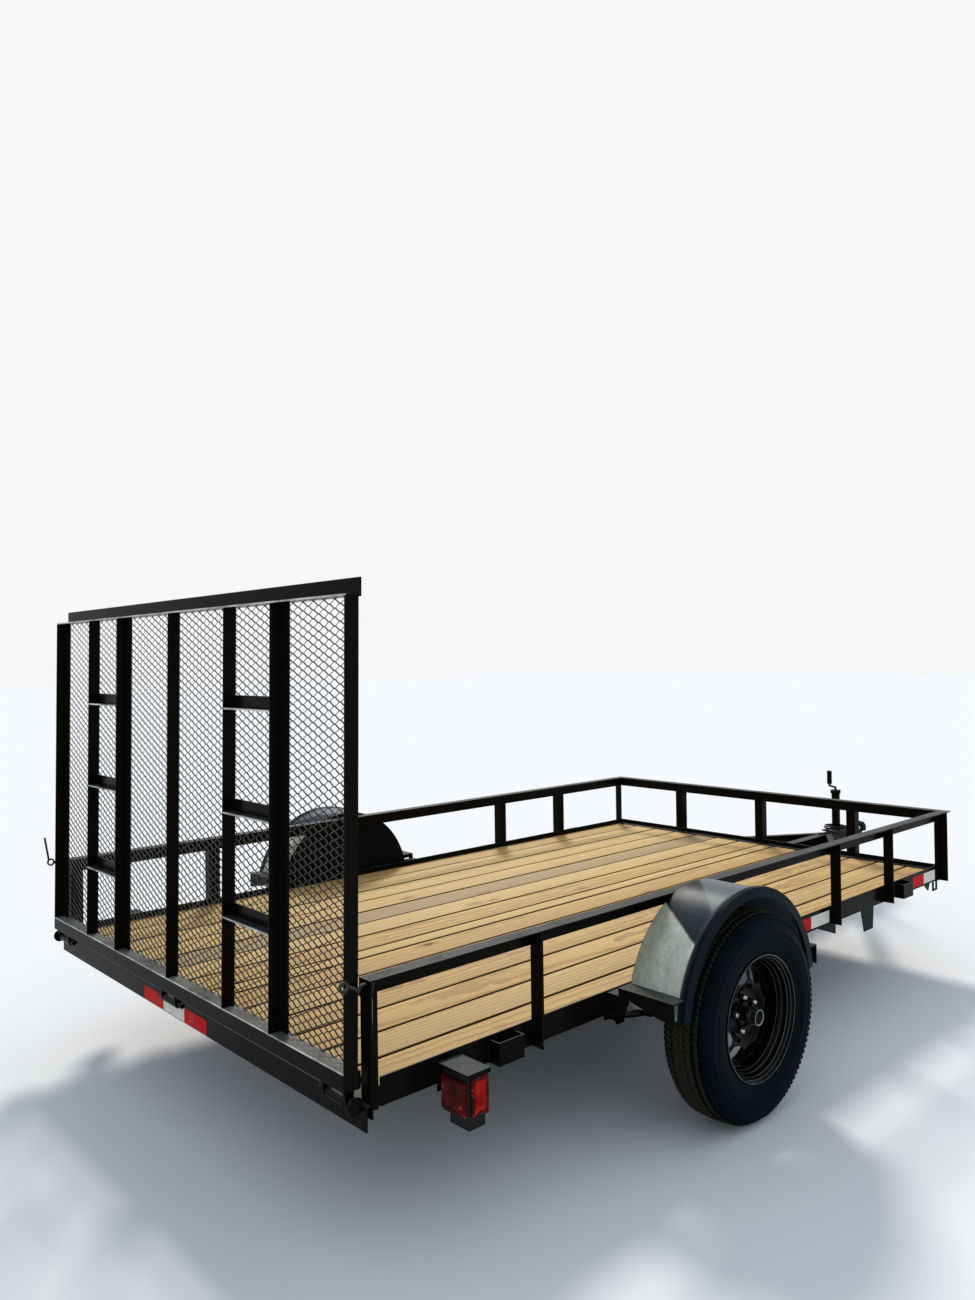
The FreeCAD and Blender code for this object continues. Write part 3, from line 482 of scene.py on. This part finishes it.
# The first start that a node's name has says its finish
FINISH = (
    ("deck_boards", pine_wood), ("tyre", tyre_rubber), ("rim", rim_paint), ("hub_cap", cap_steel),
    ("hub", rim_paint), ("lug", chrome), ("lamp_guards", guard_paint), ("lamp_lenses", lens_red),
    ("lamp_boxes", black_plastic), ("fender_b", bracket_paint), ("fender", fender_paint), ("jack_leg", zinc),
    ("wiring", cable_plastic), ("gate_catches", catch_paint), ("gate_rungs", gate_highlit_paint),
    ("gate_top_rail", gate_highlit_paint), ("gate_bottom", rail_paint), ("gate_mesh", mesh_black), ("", black))
for name, ob in nodes.items():
    finish = next(m for start, m in FINISH if name.startswith(start))
    ob.data.materials.clear()
    ob.data.materials.append(finish)
cable_piece.data.materials.append(cable_plastic)


# Shape helpers
def piece(name, bm, body, smooth, *finishes):
    """A finished mesh that rides on a body; smooth is the angle above which edges stay sharp, or None."""
    mesh = bpy.data.meshes.new(name)
    bmesh.ops.recalc_face_normals(bm, faces=bm.faces)
    bm.to_mesh(mesh)
    bm.free()
    for m in finishes:
        mesh.materials.append(m)
    if smooth:
        mesh.polygons.foreach_set("use_smooth", [True] * len(mesh.polygons))
        mesh.set_sharp_from_angle(angle=math.radians(smooth))
    ob = bpy.data.objects.new(name, mesh)
    scene.collection.objects.link(ob)
    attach(ob, body)
    return ob


def edges_of(verts):
    return list({e for v in verts for e in v.link_edges})


def faces_of(verts):
    return list({f for v in verts for f in v.link_faces})


def verts_in(geometry):
    return [g for g in geometry if isinstance(g, bmesh.types.BMVert)]


def chamfered(bm, verts, edges, offset, segments):
    """Bevels the edges and returns the vertices that are then there."""
    grown = bmesh.ops.bevel(bm, geom=edges, offset=offset / 1000, affect="EDGES", segments=segments,
                            profile=0.5, material=-1)
    return list({v for f in grown["faces"] for v in f.verts} | {v for v in verts if v.is_valid})


def block(bm, x, y, z, bevel=0.0, segments=1, index=0):
    """A box between pairs of bed places, with its edges eased."""
    centre = at(sum(x) / 2, sum(y) / 2, sum(z) / 2)
    size = Vector((x[1] - x[0], y[1] - y[0], z[1] - z[0])) / 1000
    place = Matrix.Translation(centre) @ Matrix.Diagonal((*size, 1))
    verts = bmesh.ops.create_cube(bm, size=1, matrix=place)["verts"]
    if bevel:
        verts = chamfered(bm, verts, edges_of(verts), bevel, segments)
    for f in faces_of(verts):
        f.material_index = index
    return verts


def cone(bm, place, sides, r0, r1, length, bevel, segments):
    """A cone, prism or disc about the place's z axis, with its edges eased."""
    made = bmesh.ops.create_cone(bm, cap_ends=True, segments=sides, radius1=r0 / 1000, radius2=r1 / 1000,
                                 depth=length / 1000, matrix=place)["verts"]
    chamfered(bm, made, edges_of(made), bevel, segments)


def spun(bm, profile, side, steps, closed=False):
    """A profile of (depth from the tyre's outer face, radius) turned about the axle on one side."""
    points = [bm.verts.new((HUB.x, side * (TYRE_OUT - d) / 1000, HUB.z + r / 1000)) for d, r in profile]
    pairs = list(zip(points, points[1:] + points[:1])) if closed else list(zip(points, points[1:]))
    edges = [bm.edges.new(p) for p in pairs]
    bmesh.ops.spin(bm, geom=points + edges, cent=HUB, axis=(0, 1, 0), angle=2 * math.pi, steps=steps,
                   use_merge=True, use_duplicate=False)


# Planks with eased edges, each with its own stretch of grain; one board has weathered grey
BOARD_T, BOARD_W, BOARD_GAP, BOARD_PLAY, GREY_BOARD = 38.0, 139.7, 11.2, 1.15, 4


def planks():
    bm = bmesh.new()
    grain = bm.verts.layers.float_vector.new("grain")
    tone = bm.verts.layers.float_vector.new("tone")
    chance = random.Random(14)
    room = 2 * (HALF - T - BOARD_PLAY)
    whole = int((room + BOARD_GAP) // (BOARD_W + BOARD_GAP))
    widths = [BOARD_W] * whole
    widths.insert((whole + 1) // 2, room - whole * (BOARD_W + BOARD_GAP))
    left = room / 2
    for k, w in enumerate(widths):
        height = DECK_TOP - BOARD_T, DECK_TOP + chance.uniform(-0.8, 0.6)
        verts = block(bm, (FRAME_LEG + 3, BED_FRONT - T - 1), (left - w, left), height, bevel=3.0, segments=3)
        along, heart = chance.uniform(-9, 9), -(left - w / 2) / 1000
        own = Vector((along, heart + chance.uniform(-0.07, 0.07), chance.uniform(-0.62, -0.40)))
        grey, pale = (0.6, 0.0) if k == GREY_BOARD else (chance.uniform(0, 0.22), chance.uniform(0, 0.5))
        for v in verts:
            v[grain] = own
            v[tone] = (grey, pale, 0)
        left -= w + BOARD_GAP
    ob = piece("planks", bm, "chassis", 30, pine_wood)
    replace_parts(ob, "deck_boards")


planks()


# Tyres: a turned carcass with a round crown, five ribs of slanted blocks and a low shoulder row
PITCHES, CROWN_R, CROWN_Y, CROWN_FLAT, GROOVE, TYRE_STEPS = 104, 4.3, 40, 12, 7.5, 116
SIDEWALL = ((14, 205.5), (11.5, 211), (7.5, 217), (7.8, 219.5), (4.6, 229), (1.8, 244), (0.9, 248),
            (1.5, 249.2), (0.6, 251), (0.3, 262), (0.4, 274), (1.2, 286), (0.6, 287.5), (0.8, 290),
            (2.4, 292), (4.6, 303), (7.6, 313), (12.5, 322), (20, 328.5), (28, 332))
FLOOR_Y, BEAD_SEAT = (50, 38, 24, 0, -24, -38, -50), ((TYRE_W - 28, 207), (28, 207))
# Ribs: from and to across the tread, slant of the blocks' ends, share of the pitch, phase
RIBS = ((-8, 8, 0.6, 0.80, 0.0), (11.5, 31, 0.8, 0.80, 0.35), (-31, -11.5, 0.8, 0.80, 0.7),
        (35, 56, 0.5, 0.76, 0.2), (-56, -35, 0.5, 0.76, 0.5))
# Lowest corner of a block's top, from the tread's middle, on an inner and on an outer rib, in metres
INNER_TOP, OUTER_TOP, OUTER_RIB = -0.0066, -0.0105, 40
# Shoulder blocks: place across, radius, tilt, size in metres and phase
SHOULDER_Y, SHOULDER_R, SHOULDER_TILT, SHOULDER_SIZE = 71, 0.3255, 0.72, (0.0115, 0.019, 0.0052)
SHOULDER_PHASE = 0.1


def crown(y):
    """Radius of the tread's top at a distance from the tyre's middle plane."""
    return TYRE_R - CROWN_R * (max(abs(y), CROWN_FLAT) / CROWN_Y) ** 2


def tread_place(side, across, turn):
    """The tread's surface at a distance from the tyre's middle plane, a number of pitches round."""
    hub = HUB + Vector((0, side * (TYRE_OUT - TYRE_W / 2 + across) / 1000, 0))
    return Matrix.Translation(hub) @ Matrix.Rotation(2 * math.pi * turn / PITCHES, 4, "Y")


def tyre(label, side):
    bm = bmesh.new()
    floor = [(TYRE_W / 2 - y, crown(y) - GROOVE) for y in FLOOR_Y]
    outer = list(SIDEWALL) + floor + [(TYRE_W - d, r) for d, r in SIDEWALL[::-1]]
    spun(bm, outer + list(BEAD_SEAT), side, TYRE_STEPS, closed=True)
    for y0, y1, slant, share, phase in RIBS:
        middle, long = (y0 + y1) / 2, 2 * math.pi * TYRE_R / PITCHES * share / 1000
        block_verts = bmesh.ops.create_cube(bm, size=1)["verts"]
        for v in block_verts:
            across = v.co.y * (y1 - y0)
            top = crown(middle + across) - (0 if v.co.z > 0 else GROOVE + 2)
            v.co = Vector((v.co.x * long + across * slant / 1000, across / 1000, (top - TYRE_R) / 1000))
        lowest = OUTER_TOP if abs(middle) > OUTER_RIB else INNER_TOP
        top_edges = [e for e in edges_of(block_verts) if all(v.co.z > lowest for v in e.verts)]
        verts = chamfered(bm, block_verts, top_edges, 0.9, 1)
        faces = faces_of(verts)
        for k in range(PITCHES):
            copy = bmesh.ops.duplicate(bm, geom=faces)["geom"]
            place = tread_place(side, middle, k + phase) @ Matrix.Translation((0, 0, TYRE_R / 1000))
            bmesh.ops.transform(bm, matrix=place, verts=verts_in(copy))
        bmesh.ops.delete(bm, geom=verts, context="VERTS")
    for face in (1, -1):
        tilt = Matrix.Translation((0, 0, SHOULDER_R)) @ Matrix.Rotation(-face * side * SHOULDER_TILT, 4, "X")
        for k in range(PITCHES):
            place = tread_place(side, face * SHOULDER_Y, k + SHOULDER_PHASE) @ tilt
            bmesh.ops.create_cube(bm, size=1, matrix=place @ Matrix.Diagonal((*SHOULDER_SIZE, 1)))
    ob = piece("tyre_tread_" + label, bm, "wheel_" + label, 32, tyre_rubber)
    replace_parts(ob, "tyre_" + label)


# Rims: a rolled barrel and a pressed disc with ten windows, as (depth from the tyre's outer face, radius)
BARREL = ((10.5, 203.8), (8.6, 207.2), (7.6, 206.4), (8.6, 203.2), (13, 200.8), (16, 196.5), (20, 193),
          (27, 191.4), (29, 188), (38, 187), (44, 185), (48, 180), (58, 177.5), (64, 174), (88, 173),
          (94, 177), (128, 180), (152, 184), (163, 197), (168, 207))
DISC = ((94, 173.2), (84, 172.6), (79, 168), (80.5, 158), (78, 150), (75, 140), (70, 126), (66.5, 114),
        (66, 106), (68, 98), (75, 88), (81.5, 80), (83.5, 74), (83.5, 62), (83.5, 50), (82, 46),
        (76, 43.2), (70, 42.6))
WINDOWS, WINDOW_TURN, DISC_STEPS, BARREL_STEPS, RIM_T = 10, -10.0, 80, 96, 0.0035
# A window's rows: outer and inner radius, first and last step that is cut
WINDOW_ROWS = ((150, 140, 1, 6), (140, 126, 1, 6), (126, 114, 1, 6), (114, 106, 2, 5))


def in_window(face):
    c = face.calc_center_median() - HUB
    r = math.hypot(c.x, c.z) * 1000
    each = 360 / WINDOWS
    from_top = math.degrees(math.atan2(c.x, c.z)) - WINDOW_TURN + each / 2
    step = int(from_top % each / each * DISC_STEPS / WINDOWS)
    return any(inner < r < outer and first <= step <= last for outer, inner, first, last in WINDOW_ROWS)


def rim(label, side):
    bm = bmesh.new()
    spun(bm, BARREL, side, BARREL_STEPS)
    barrel_faces = set(bm.faces)
    spun(bm, DISC, side, DISC_STEPS)
    gone = [f for f in bm.faces if f not in barrel_faces and in_window(f)]
    bmesh.ops.delete(bm, geom=gone, context="FACES")
    ob = piece("rim_steel_" + label, bm, "wheel_" + label, 50, rim_paint)
    thick = ob.modifiers.new("thickness", "SOLIDIFY")
    thick.thickness, thick.offset = RIM_T, -1
    soft = ob.modifiers.new("rounding", "SUBSURF")
    soft.levels = soft.render_levels = 1
    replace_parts(ob, "rim_" + label)


# Centre cap as (depth, radius), the knurl on its foot, and the black plug in its mouth
CAP = ((78, 26), (60, 26), (58.5, 27), (44, 27), (42.5, 25.6), (24, 25.6), (22.5, 26.8), (20.6, 26.2),
       (20.2, 24), (21.4, 22), (33, 21.4), (34.5, 20), (35, 0.5))
CAP_STEPS, KNURL_FROM, KNURL_TO, KNURL_R, KNURL_DEEP, PLUG_R = 72, 43, 59, 0.0262, 0.0011, 21.8
# Nuts, and the parts of one: depth of its middle, length, radius at the foot and at the tip, sides
NUTS, NUT_CIRCLE, NUT_TURN = 5, 57.15, 99.0
NUT_PARTS = ((77.0, 14.0, 11.3, 11.3, 6), (66.6, 7.0, 10.4, 6.0, 24))


def cap(label, side):
    """A tube with a knurled foot and a rolled mouth, with a black plug in it."""
    bm = bmesh.new()
    spun(bm, CAP, side, CAP_STEPS)
    for v in bm.verts:
        out = Vector((v.co.x - HUB.x, 0, v.co.z - HUB.z))
        depth = TYRE_OUT - abs(v.co.y) * 1000
        if KNURL_FROM < depth < KNURL_TO and out.length > KNURL_R:
            k = round(math.degrees(math.atan2(out.z, out.x)) / (360 / CAP_STEPS))
            v.co -= out.normalized() * (KNURL_DEEP if k % 2 else 0)
    for f in bm.faces:
        c = f.calc_center_median() - HUB
        f.material_index = int(math.hypot(c.x, c.z) < PLUG_R / 1000)
    ob = piece("cap_" + label, bm, "wheel_" + label, 60, cap_steel, black_plastic)
    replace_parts(ob, "hub_cap_" + label)


def nuts(label, side):
    bm = bmesh.new()
    outward = Matrix.Rotation(-side * math.pi / 2, 4, "X")
    for k in range(NUTS):
        a = math.radians(NUT_TURN + 360 / NUTS * k)
        foot = HUB + Vector((NUT_CIRCLE * math.cos(a), 0, NUT_CIRCLE * math.sin(a))) / 1000
        for middle, length, r0, r1, sides in NUT_PARTS:
            place = Matrix.Translation(Vector((foot.x, side * (TYRE_OUT - middle) / 1000, foot.z))) @ outward
            cone(bm, place, sides, r0, r1, length, 0.9, 2)
    ob = piece("nuts_" + label, bm, "wheel_" + label, 35, chrome)
    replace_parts(ob, "lug_nuts_" + label)


for label, side in SIDES:
    tyre(label, side)
    rim(label, side)
    cap(label, side)
    nuts(label, side)


# Lamp lenses: a frame round a sunk rear lens and a raised side reflector.
# Each has the x, y and z it fills on the left, the way it looks, its frame's width and its middle's step
LAMP_X0, LAMP_X1, LAMP_IN, LAMP_OUT = 262.0, 345.0, 1046.0, 1144.0
REAR_LENS = ((LAMP_X0 - 7.7, LAMP_X0 + 1.5), (LAMP_IN + 2.3, LAMP_OUT - 0.3), (341.3, 429.7),
             (-1, 0, 0), 4.0, -1.2)
SIDE_LENS = ((LAMP_X0 + 14.3, LAMP_X1 - 8.3), (LAMP_OUT, LAMP_OUT + 7.4), (338.3, 438.7),
             (0, 1, 0), 9.0, -0.8)


def lens_piece(name, bright, x, y, z, look, edge, step):
    bm = bmesh.new()
    for _, side in SIDES:
        verts = block(bm, x, sorted((side * y[0], side * y[1])), z, bevel=3.5, segments=3)
        way = Vector((look[0], side * look[1], look[2]))
        face = max((f for f in faces_of(verts) if f.normal.dot(way) > 0.99), key=lambda f: f.calc_area())
        bmesh.ops.inset_region(bm, faces=[face], thickness=edge / 1000, depth=0.0)
        bmesh.ops.inset_region(bm, faces=[face], thickness=0.0012, depth=step / 1000)
        face.material_index = 1
    ob = piece(name, bm, "chassis", 35, lens_red, bright)
    return ob


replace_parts(lens_piece("lens_rear", lens_red, *REAR_LENS), "lamp_lenses")
lens_piece("lens_side", lens_bright, *SIDE_LENS)


# Gate mesh: one cell of expanded metal, repeated across and up the gate's leaning plane
MESH_X, MESH_HALF, MESH_Z0, MESH_Z1, ACROSS = -4.0, 1031.0, 512.0, 1703.0, 40
CELL_H, STRAND, STRAND_TILT, STRAND_T, STRAND_DROP, BOND, MERGE = 23.3, 3.0, 1.9, 1.5, -0.6, 6.5, 0.00005


def expanded_metal():
    bm = bmesh.new()
    up = int((MESH_Z1 - MESH_Z0) / CELL_H)
    cell_w, cell_h = 2 * MESH_HALF / ACROSS, (MESH_Z1 - MESH_Z0 - STRAND) / up
    half = cell_w / 2
    path = ((0, 0), (BOND, 0), (half, 1), (half + BOND, 1), (cell_w, 0))
    for flip in (0, 1):
        heights = [cell_h * ((1 - rise / 2) if flip else rise / 2) for _, rise in path]
        line = [bm.verts.new(at(MESH_X, -MESH_HALF + y, MESH_Z0 + z)) for (y, _), z in zip(path, heights)]
        edges = [bm.edges.new(p) for p in zip(line, line[1:])]
        ribbon = bmesh.ops.extrude_edge_only(bm, edges=edges)["geom"]
        bmesh.ops.translate(bm, vec=Vector((STRAND_TILT, 0, STRAND)) / 1000, verts=verts_in(ribbon))
        faces = [g for g in ribbon if isinstance(g, bmesh.types.BMFace)]
        thick = bmesh.ops.extrude_face_region(bm, geom=faces, use_keep_orig=True)["geom"]
        bmesh.ops.translate(bm, vec=Vector((STRAND_T, 0, STRAND_DROP)) / 1000, verts=verts_in(thick))
    lean = Matrix.Rotation(LEAN, 4, "Y")
    hinge = Matrix.Translation(at(HINGE_X, 0, HINGE_Z))
    bmesh.ops.transform(bm, matrix=hinge @ lean @ hinge.inverted(), verts=bm.verts)
    ob = piece("gate_expanded_metal", bm, "gate", None, mesh_black)
    rows = ("across", ACROSS, Vector((0, cell_w, 0))), ("up", up, lean @ Vector((0, 0, cell_h)))
    for name, count, step in rows:
        row = ob.modifiers.new(name, "ARRAY")
        row.count, row.use_relative_offset, row.use_constant_offset = count, False, True
        row.constant_offset_displace = step / 1000
        row.use_merge_vertices = True
        row.merge_threshold = MERGE
    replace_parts(ob, "gate_mesh_falling", "gate_mesh_rising")


expanded_metal()


# Weld beads on posts, pockets, rails and tongue: overlapping ripples of weld metal that stand out by BEAD_OUT
# and end BEAD_SHORT before an edge
BEAD_STEP, BEAD_R, BEAD_OUT, BEAD_SHORT, RAIL_BEAD_SHORT, FRONT_BEAD_SHORT = 4.4, 2.5, 0.6, 4, 8, 6
POCKET_BEAD, POCKET_BEAD_OUT = (395.0, 455.0), 0.4
# Beads of the jack's plate, from and to along the beam and under the plate's top, and of the beam on the header
BEAM_HALF, PLATE_BEAD, PLATE_BEAD_DROP, BEAM_BEAD = 27.5, (-77, 90), 8, 70
SIDE_POSTS = ((16.0, 1), (628.0, 1), (2442.0, 1), (2940.0, 1), (BED_FRONT, -1))
FRONT_POSTS = (560.0, 0.0, -560.0)
POCKETS = ((456.0, 556.0), (3052.0, 3152.0))


def bead(bm, start, end):
    a, b = at(*start), at(*end)
    steps = max(2, round((b - a).length * 1000 / BEAD_STEP))
    for k in range(steps + 1):
        place = Matrix.Translation(a.lerp(b, k / steps))
        bmesh.ops.create_icosphere(bm, subdivisions=1, radius=BEAD_R / 1000, matrix=place)


def welds():
    bm = bmesh.new()
    under = RAIL_TOP - T
    for _, side in SIDES:
        skin = side * HALF
        face, root = skin + side * BEAD_OUT, skin + side * (T + BEAD_OUT)
        for x, way in SIDE_POSTS:
            for edge in (x, x + way * LEG):
                if SIDE_POSTS[0][0] < edge < BED_FRONT:
                    bead(bm, (edge, face, FRAME_BOTTOM + BEAD_SHORT), (edge, face, FRAME_TOP - BEAD_SHORT))
            starts, ends = x + way * RAIL_BEAD_SHORT, x + way * (LEG - BEAD_SHORT)
            bead(bm, (starts, root, under), (ends, root, under))
            inner = x + way * (T + BEAD_OUT)
            starts, ends = skin + side * RAIL_BEAD_SHORT, skin + side * (LEG - RAIL_BEAD_SHORT)
            bead(bm, (inner, starts, under), (inner, ends, under))
        for x in (x for pocket in POCKETS for x in pocket):
            face = skin + side * POCKET_BEAD_OUT
            bead(bm, (x, face, POCKET_BEAD[0]), (x, face, POCKET_BEAD[1]))
    front, inner = BED_FRONT + BEAD_OUT, BED_FRONT + T + BEAD_OUT
    for y in FRONT_POSTS:
        for edge in (y - LEG / 2, y + LEG / 2):
            bead(bm, (front, edge, FRAME_BOTTOM + BEAD_SHORT), (front, edge, FRAME_TOP - BEAD_SHORT))
        reach = LEG / 2 - FRONT_BEAD_SHORT
        bead(bm, (inner, y - reach, under), (inner, y + reach, under))
    for y in (-BEAM_HALF, BEAM_HALF):
        bead(bm, *((JACK_X + x, y, PLATE_TOP - PLATE_BEAD_DROP) for x in PLATE_BEAD))
        bead(bm, (BED_FRONT, y, FRAME_BOTTOM - BEAM_BEAD), (BED_FRONT, y, FRAME_BOTTOM - BEAD_SHORT))
    ob = piece("weld_beads", bm, "chassis", 80, black)


welds()


# Bolts: three through the jack's plate, and two through each side of the coupler
JACK_BOLT_CIRCLE, JACK_BOLT_TURNS = 46, (60, 180, 300)
COUPLER_BOLTS, COUPLER_HALF, COUPLER_Z = (4668.0, 4716.0), 34.0, 382.0
# Washer, hex head and domed cap: from, to, radius at both ends, sides
BOLT_PARTS = ((0, 1.8, 10.5, 10.5, 24), (1.8, 7.6, 8.6, 8.6, 6), (7.6, 8.4, 7.0, 5.6, 24))


def bolt(bm, foot, turn):
    """A bolt's head, standing on foot along the turned z axis."""
    for low, high, r0, r1, sides in BOLT_PARTS:
        place = Matrix.Translation(foot) @ turn @ Matrix.Translation((0, 0, (low + high) / 2000))
        cone(bm, place, sides, r0, r1, high - low, 0.4, 1)


def bolts():
    bm = bmesh.new()
    for a in JACK_BOLT_TURNS:
        x, y = (JACK_BOLT_CIRCLE * f(math.radians(a)) for f in (math.cos, math.sin))
        bolt(bm, at(JACK_X + x, y, PLATE_TOP), Matrix.Identity(4))
    for side in (-1, 1):
        for x in COUPLER_BOLTS:
            bolt(bm, at(x, side * COUPLER_HALF, COUPLER_Z), Matrix.Rotation(-side * math.pi / 2, 4, "X"))
    ob = piece("tongue_bolts", bm, "chassis", 40, zinc)


bolts()


# Eased edges on the painted steel, so that they catch the light
EASED_PAINTS = (black, gate_highlit_paint, rail_paint, guard_paint, bracket_paint)
ROUND_NODES = ("coupler_body", "hinge_sleeves", "gate_hinge_pins", "gate_catches", "jack_tube")
for name, ob in nodes.items():
    if ob.data.materials[0] in EASED_PAINTS and name not in ROUND_NODES:
        weld = ob.modifiers.new("weld", "WELD")
        weld.merge_threshold = 0.00002
        ease = ob.modifiers.new("eased edges", "BEVEL")
        ease.width, ease.segments, ease.limit_method, ease.angle_limit = 0.0011, 2, "ANGLE", math.radians(40)


# Reflecting tape: from, to, and whether it is red, across the rear sill and along the side frames
SILL_TAPE = ((105, 261, 1), (-51, 105, 0), (-207, -51, 1))
SIDE_TAPE = ((3249, 3371, 1), (3371, 3522, 0), (2120, 2273, 1), (2273, 2425, 0))


def tape():
    bm = bmesh.new()
    for y0, y1, red in SILL_TAPE:
        block(bm, (-0.5, 0.2), (y0, y1), (368, 414), index=red)
    for x0, x1, red in SIDE_TAPE:
        for side in (-1, 1):
            block(bm, (x0, x1), sorted((side * (HALF - 0.2), side * (HALF + 0.5))), (402, 452), index=red)
    ob = piece("tape_strips", bm, "chassis", None, tape_white, tape_red)


tape()


# Floor, world and sun. What the camera and the gloss see is paler than what lights the trailer
SEEN, FLOOR_LIGHT, SKY_LIGHT = (0.93, 0.93, 0.93), (0.70, 0.69, 0.67), (0.54, 0.60, 0.68)


def seen_or(tree, lit):
    """SEEN for camera, glossy and transmission rays, and lit for the rest."""
    path = node(tree, "LightPath").outputs
    mirrored = maths(tree, "MAXIMUM", path["Is Glossy Ray"], path["Is Transmission Ray"])
    return mixed(tree, maths(tree, "MAXIMUM", path["Is Camera Ray"], mirrored), lit, SEEN)


def studio():
    bm = bmesh.new()
    bmesh.ops.create_grid(bm, x_segments=2, y_segments=2, size=60)
    mesh = bpy.data.meshes.new("floor")
    bm.to_mesh(mesh)
    bm.free()
    floor = bpy.data.objects.new("floor", mesh)
    scene.collection.objects.link(floor)
    made, tree, shader = material("floor", Roughness=0.9, Specular_IOR_Level=0.0)
    dressed(tree, shader, seen_or(tree, FLOOR_LIGHT))
    mesh.materials.append(made)
    world = bpy.data.worlds.new("studio")
    world.use_nodes = True
    scene.world = world
    tree = world.node_tree
    tree.links.new(seen_or(tree, SKY_LIGHT), tree.nodes["Background"].inputs["Color"])
    sun = bpy.data.objects.new("key", bpy.data.lights.new("key", "SUN"))
    sun.data.energy, sun.data.angle, sun.data.color = 2.3, math.radians(12), (1.0, 0.95, 0.86)
    sun.rotation_mode = "QUATERNION"
    sun.rotation_quaternion = Vector((0.50, 0.62, 0.62)).to_track_quat("Z", "Y")
    scene.collection.objects.link(sun)


studio()
scene.view_settings.view_transform = "Standard"
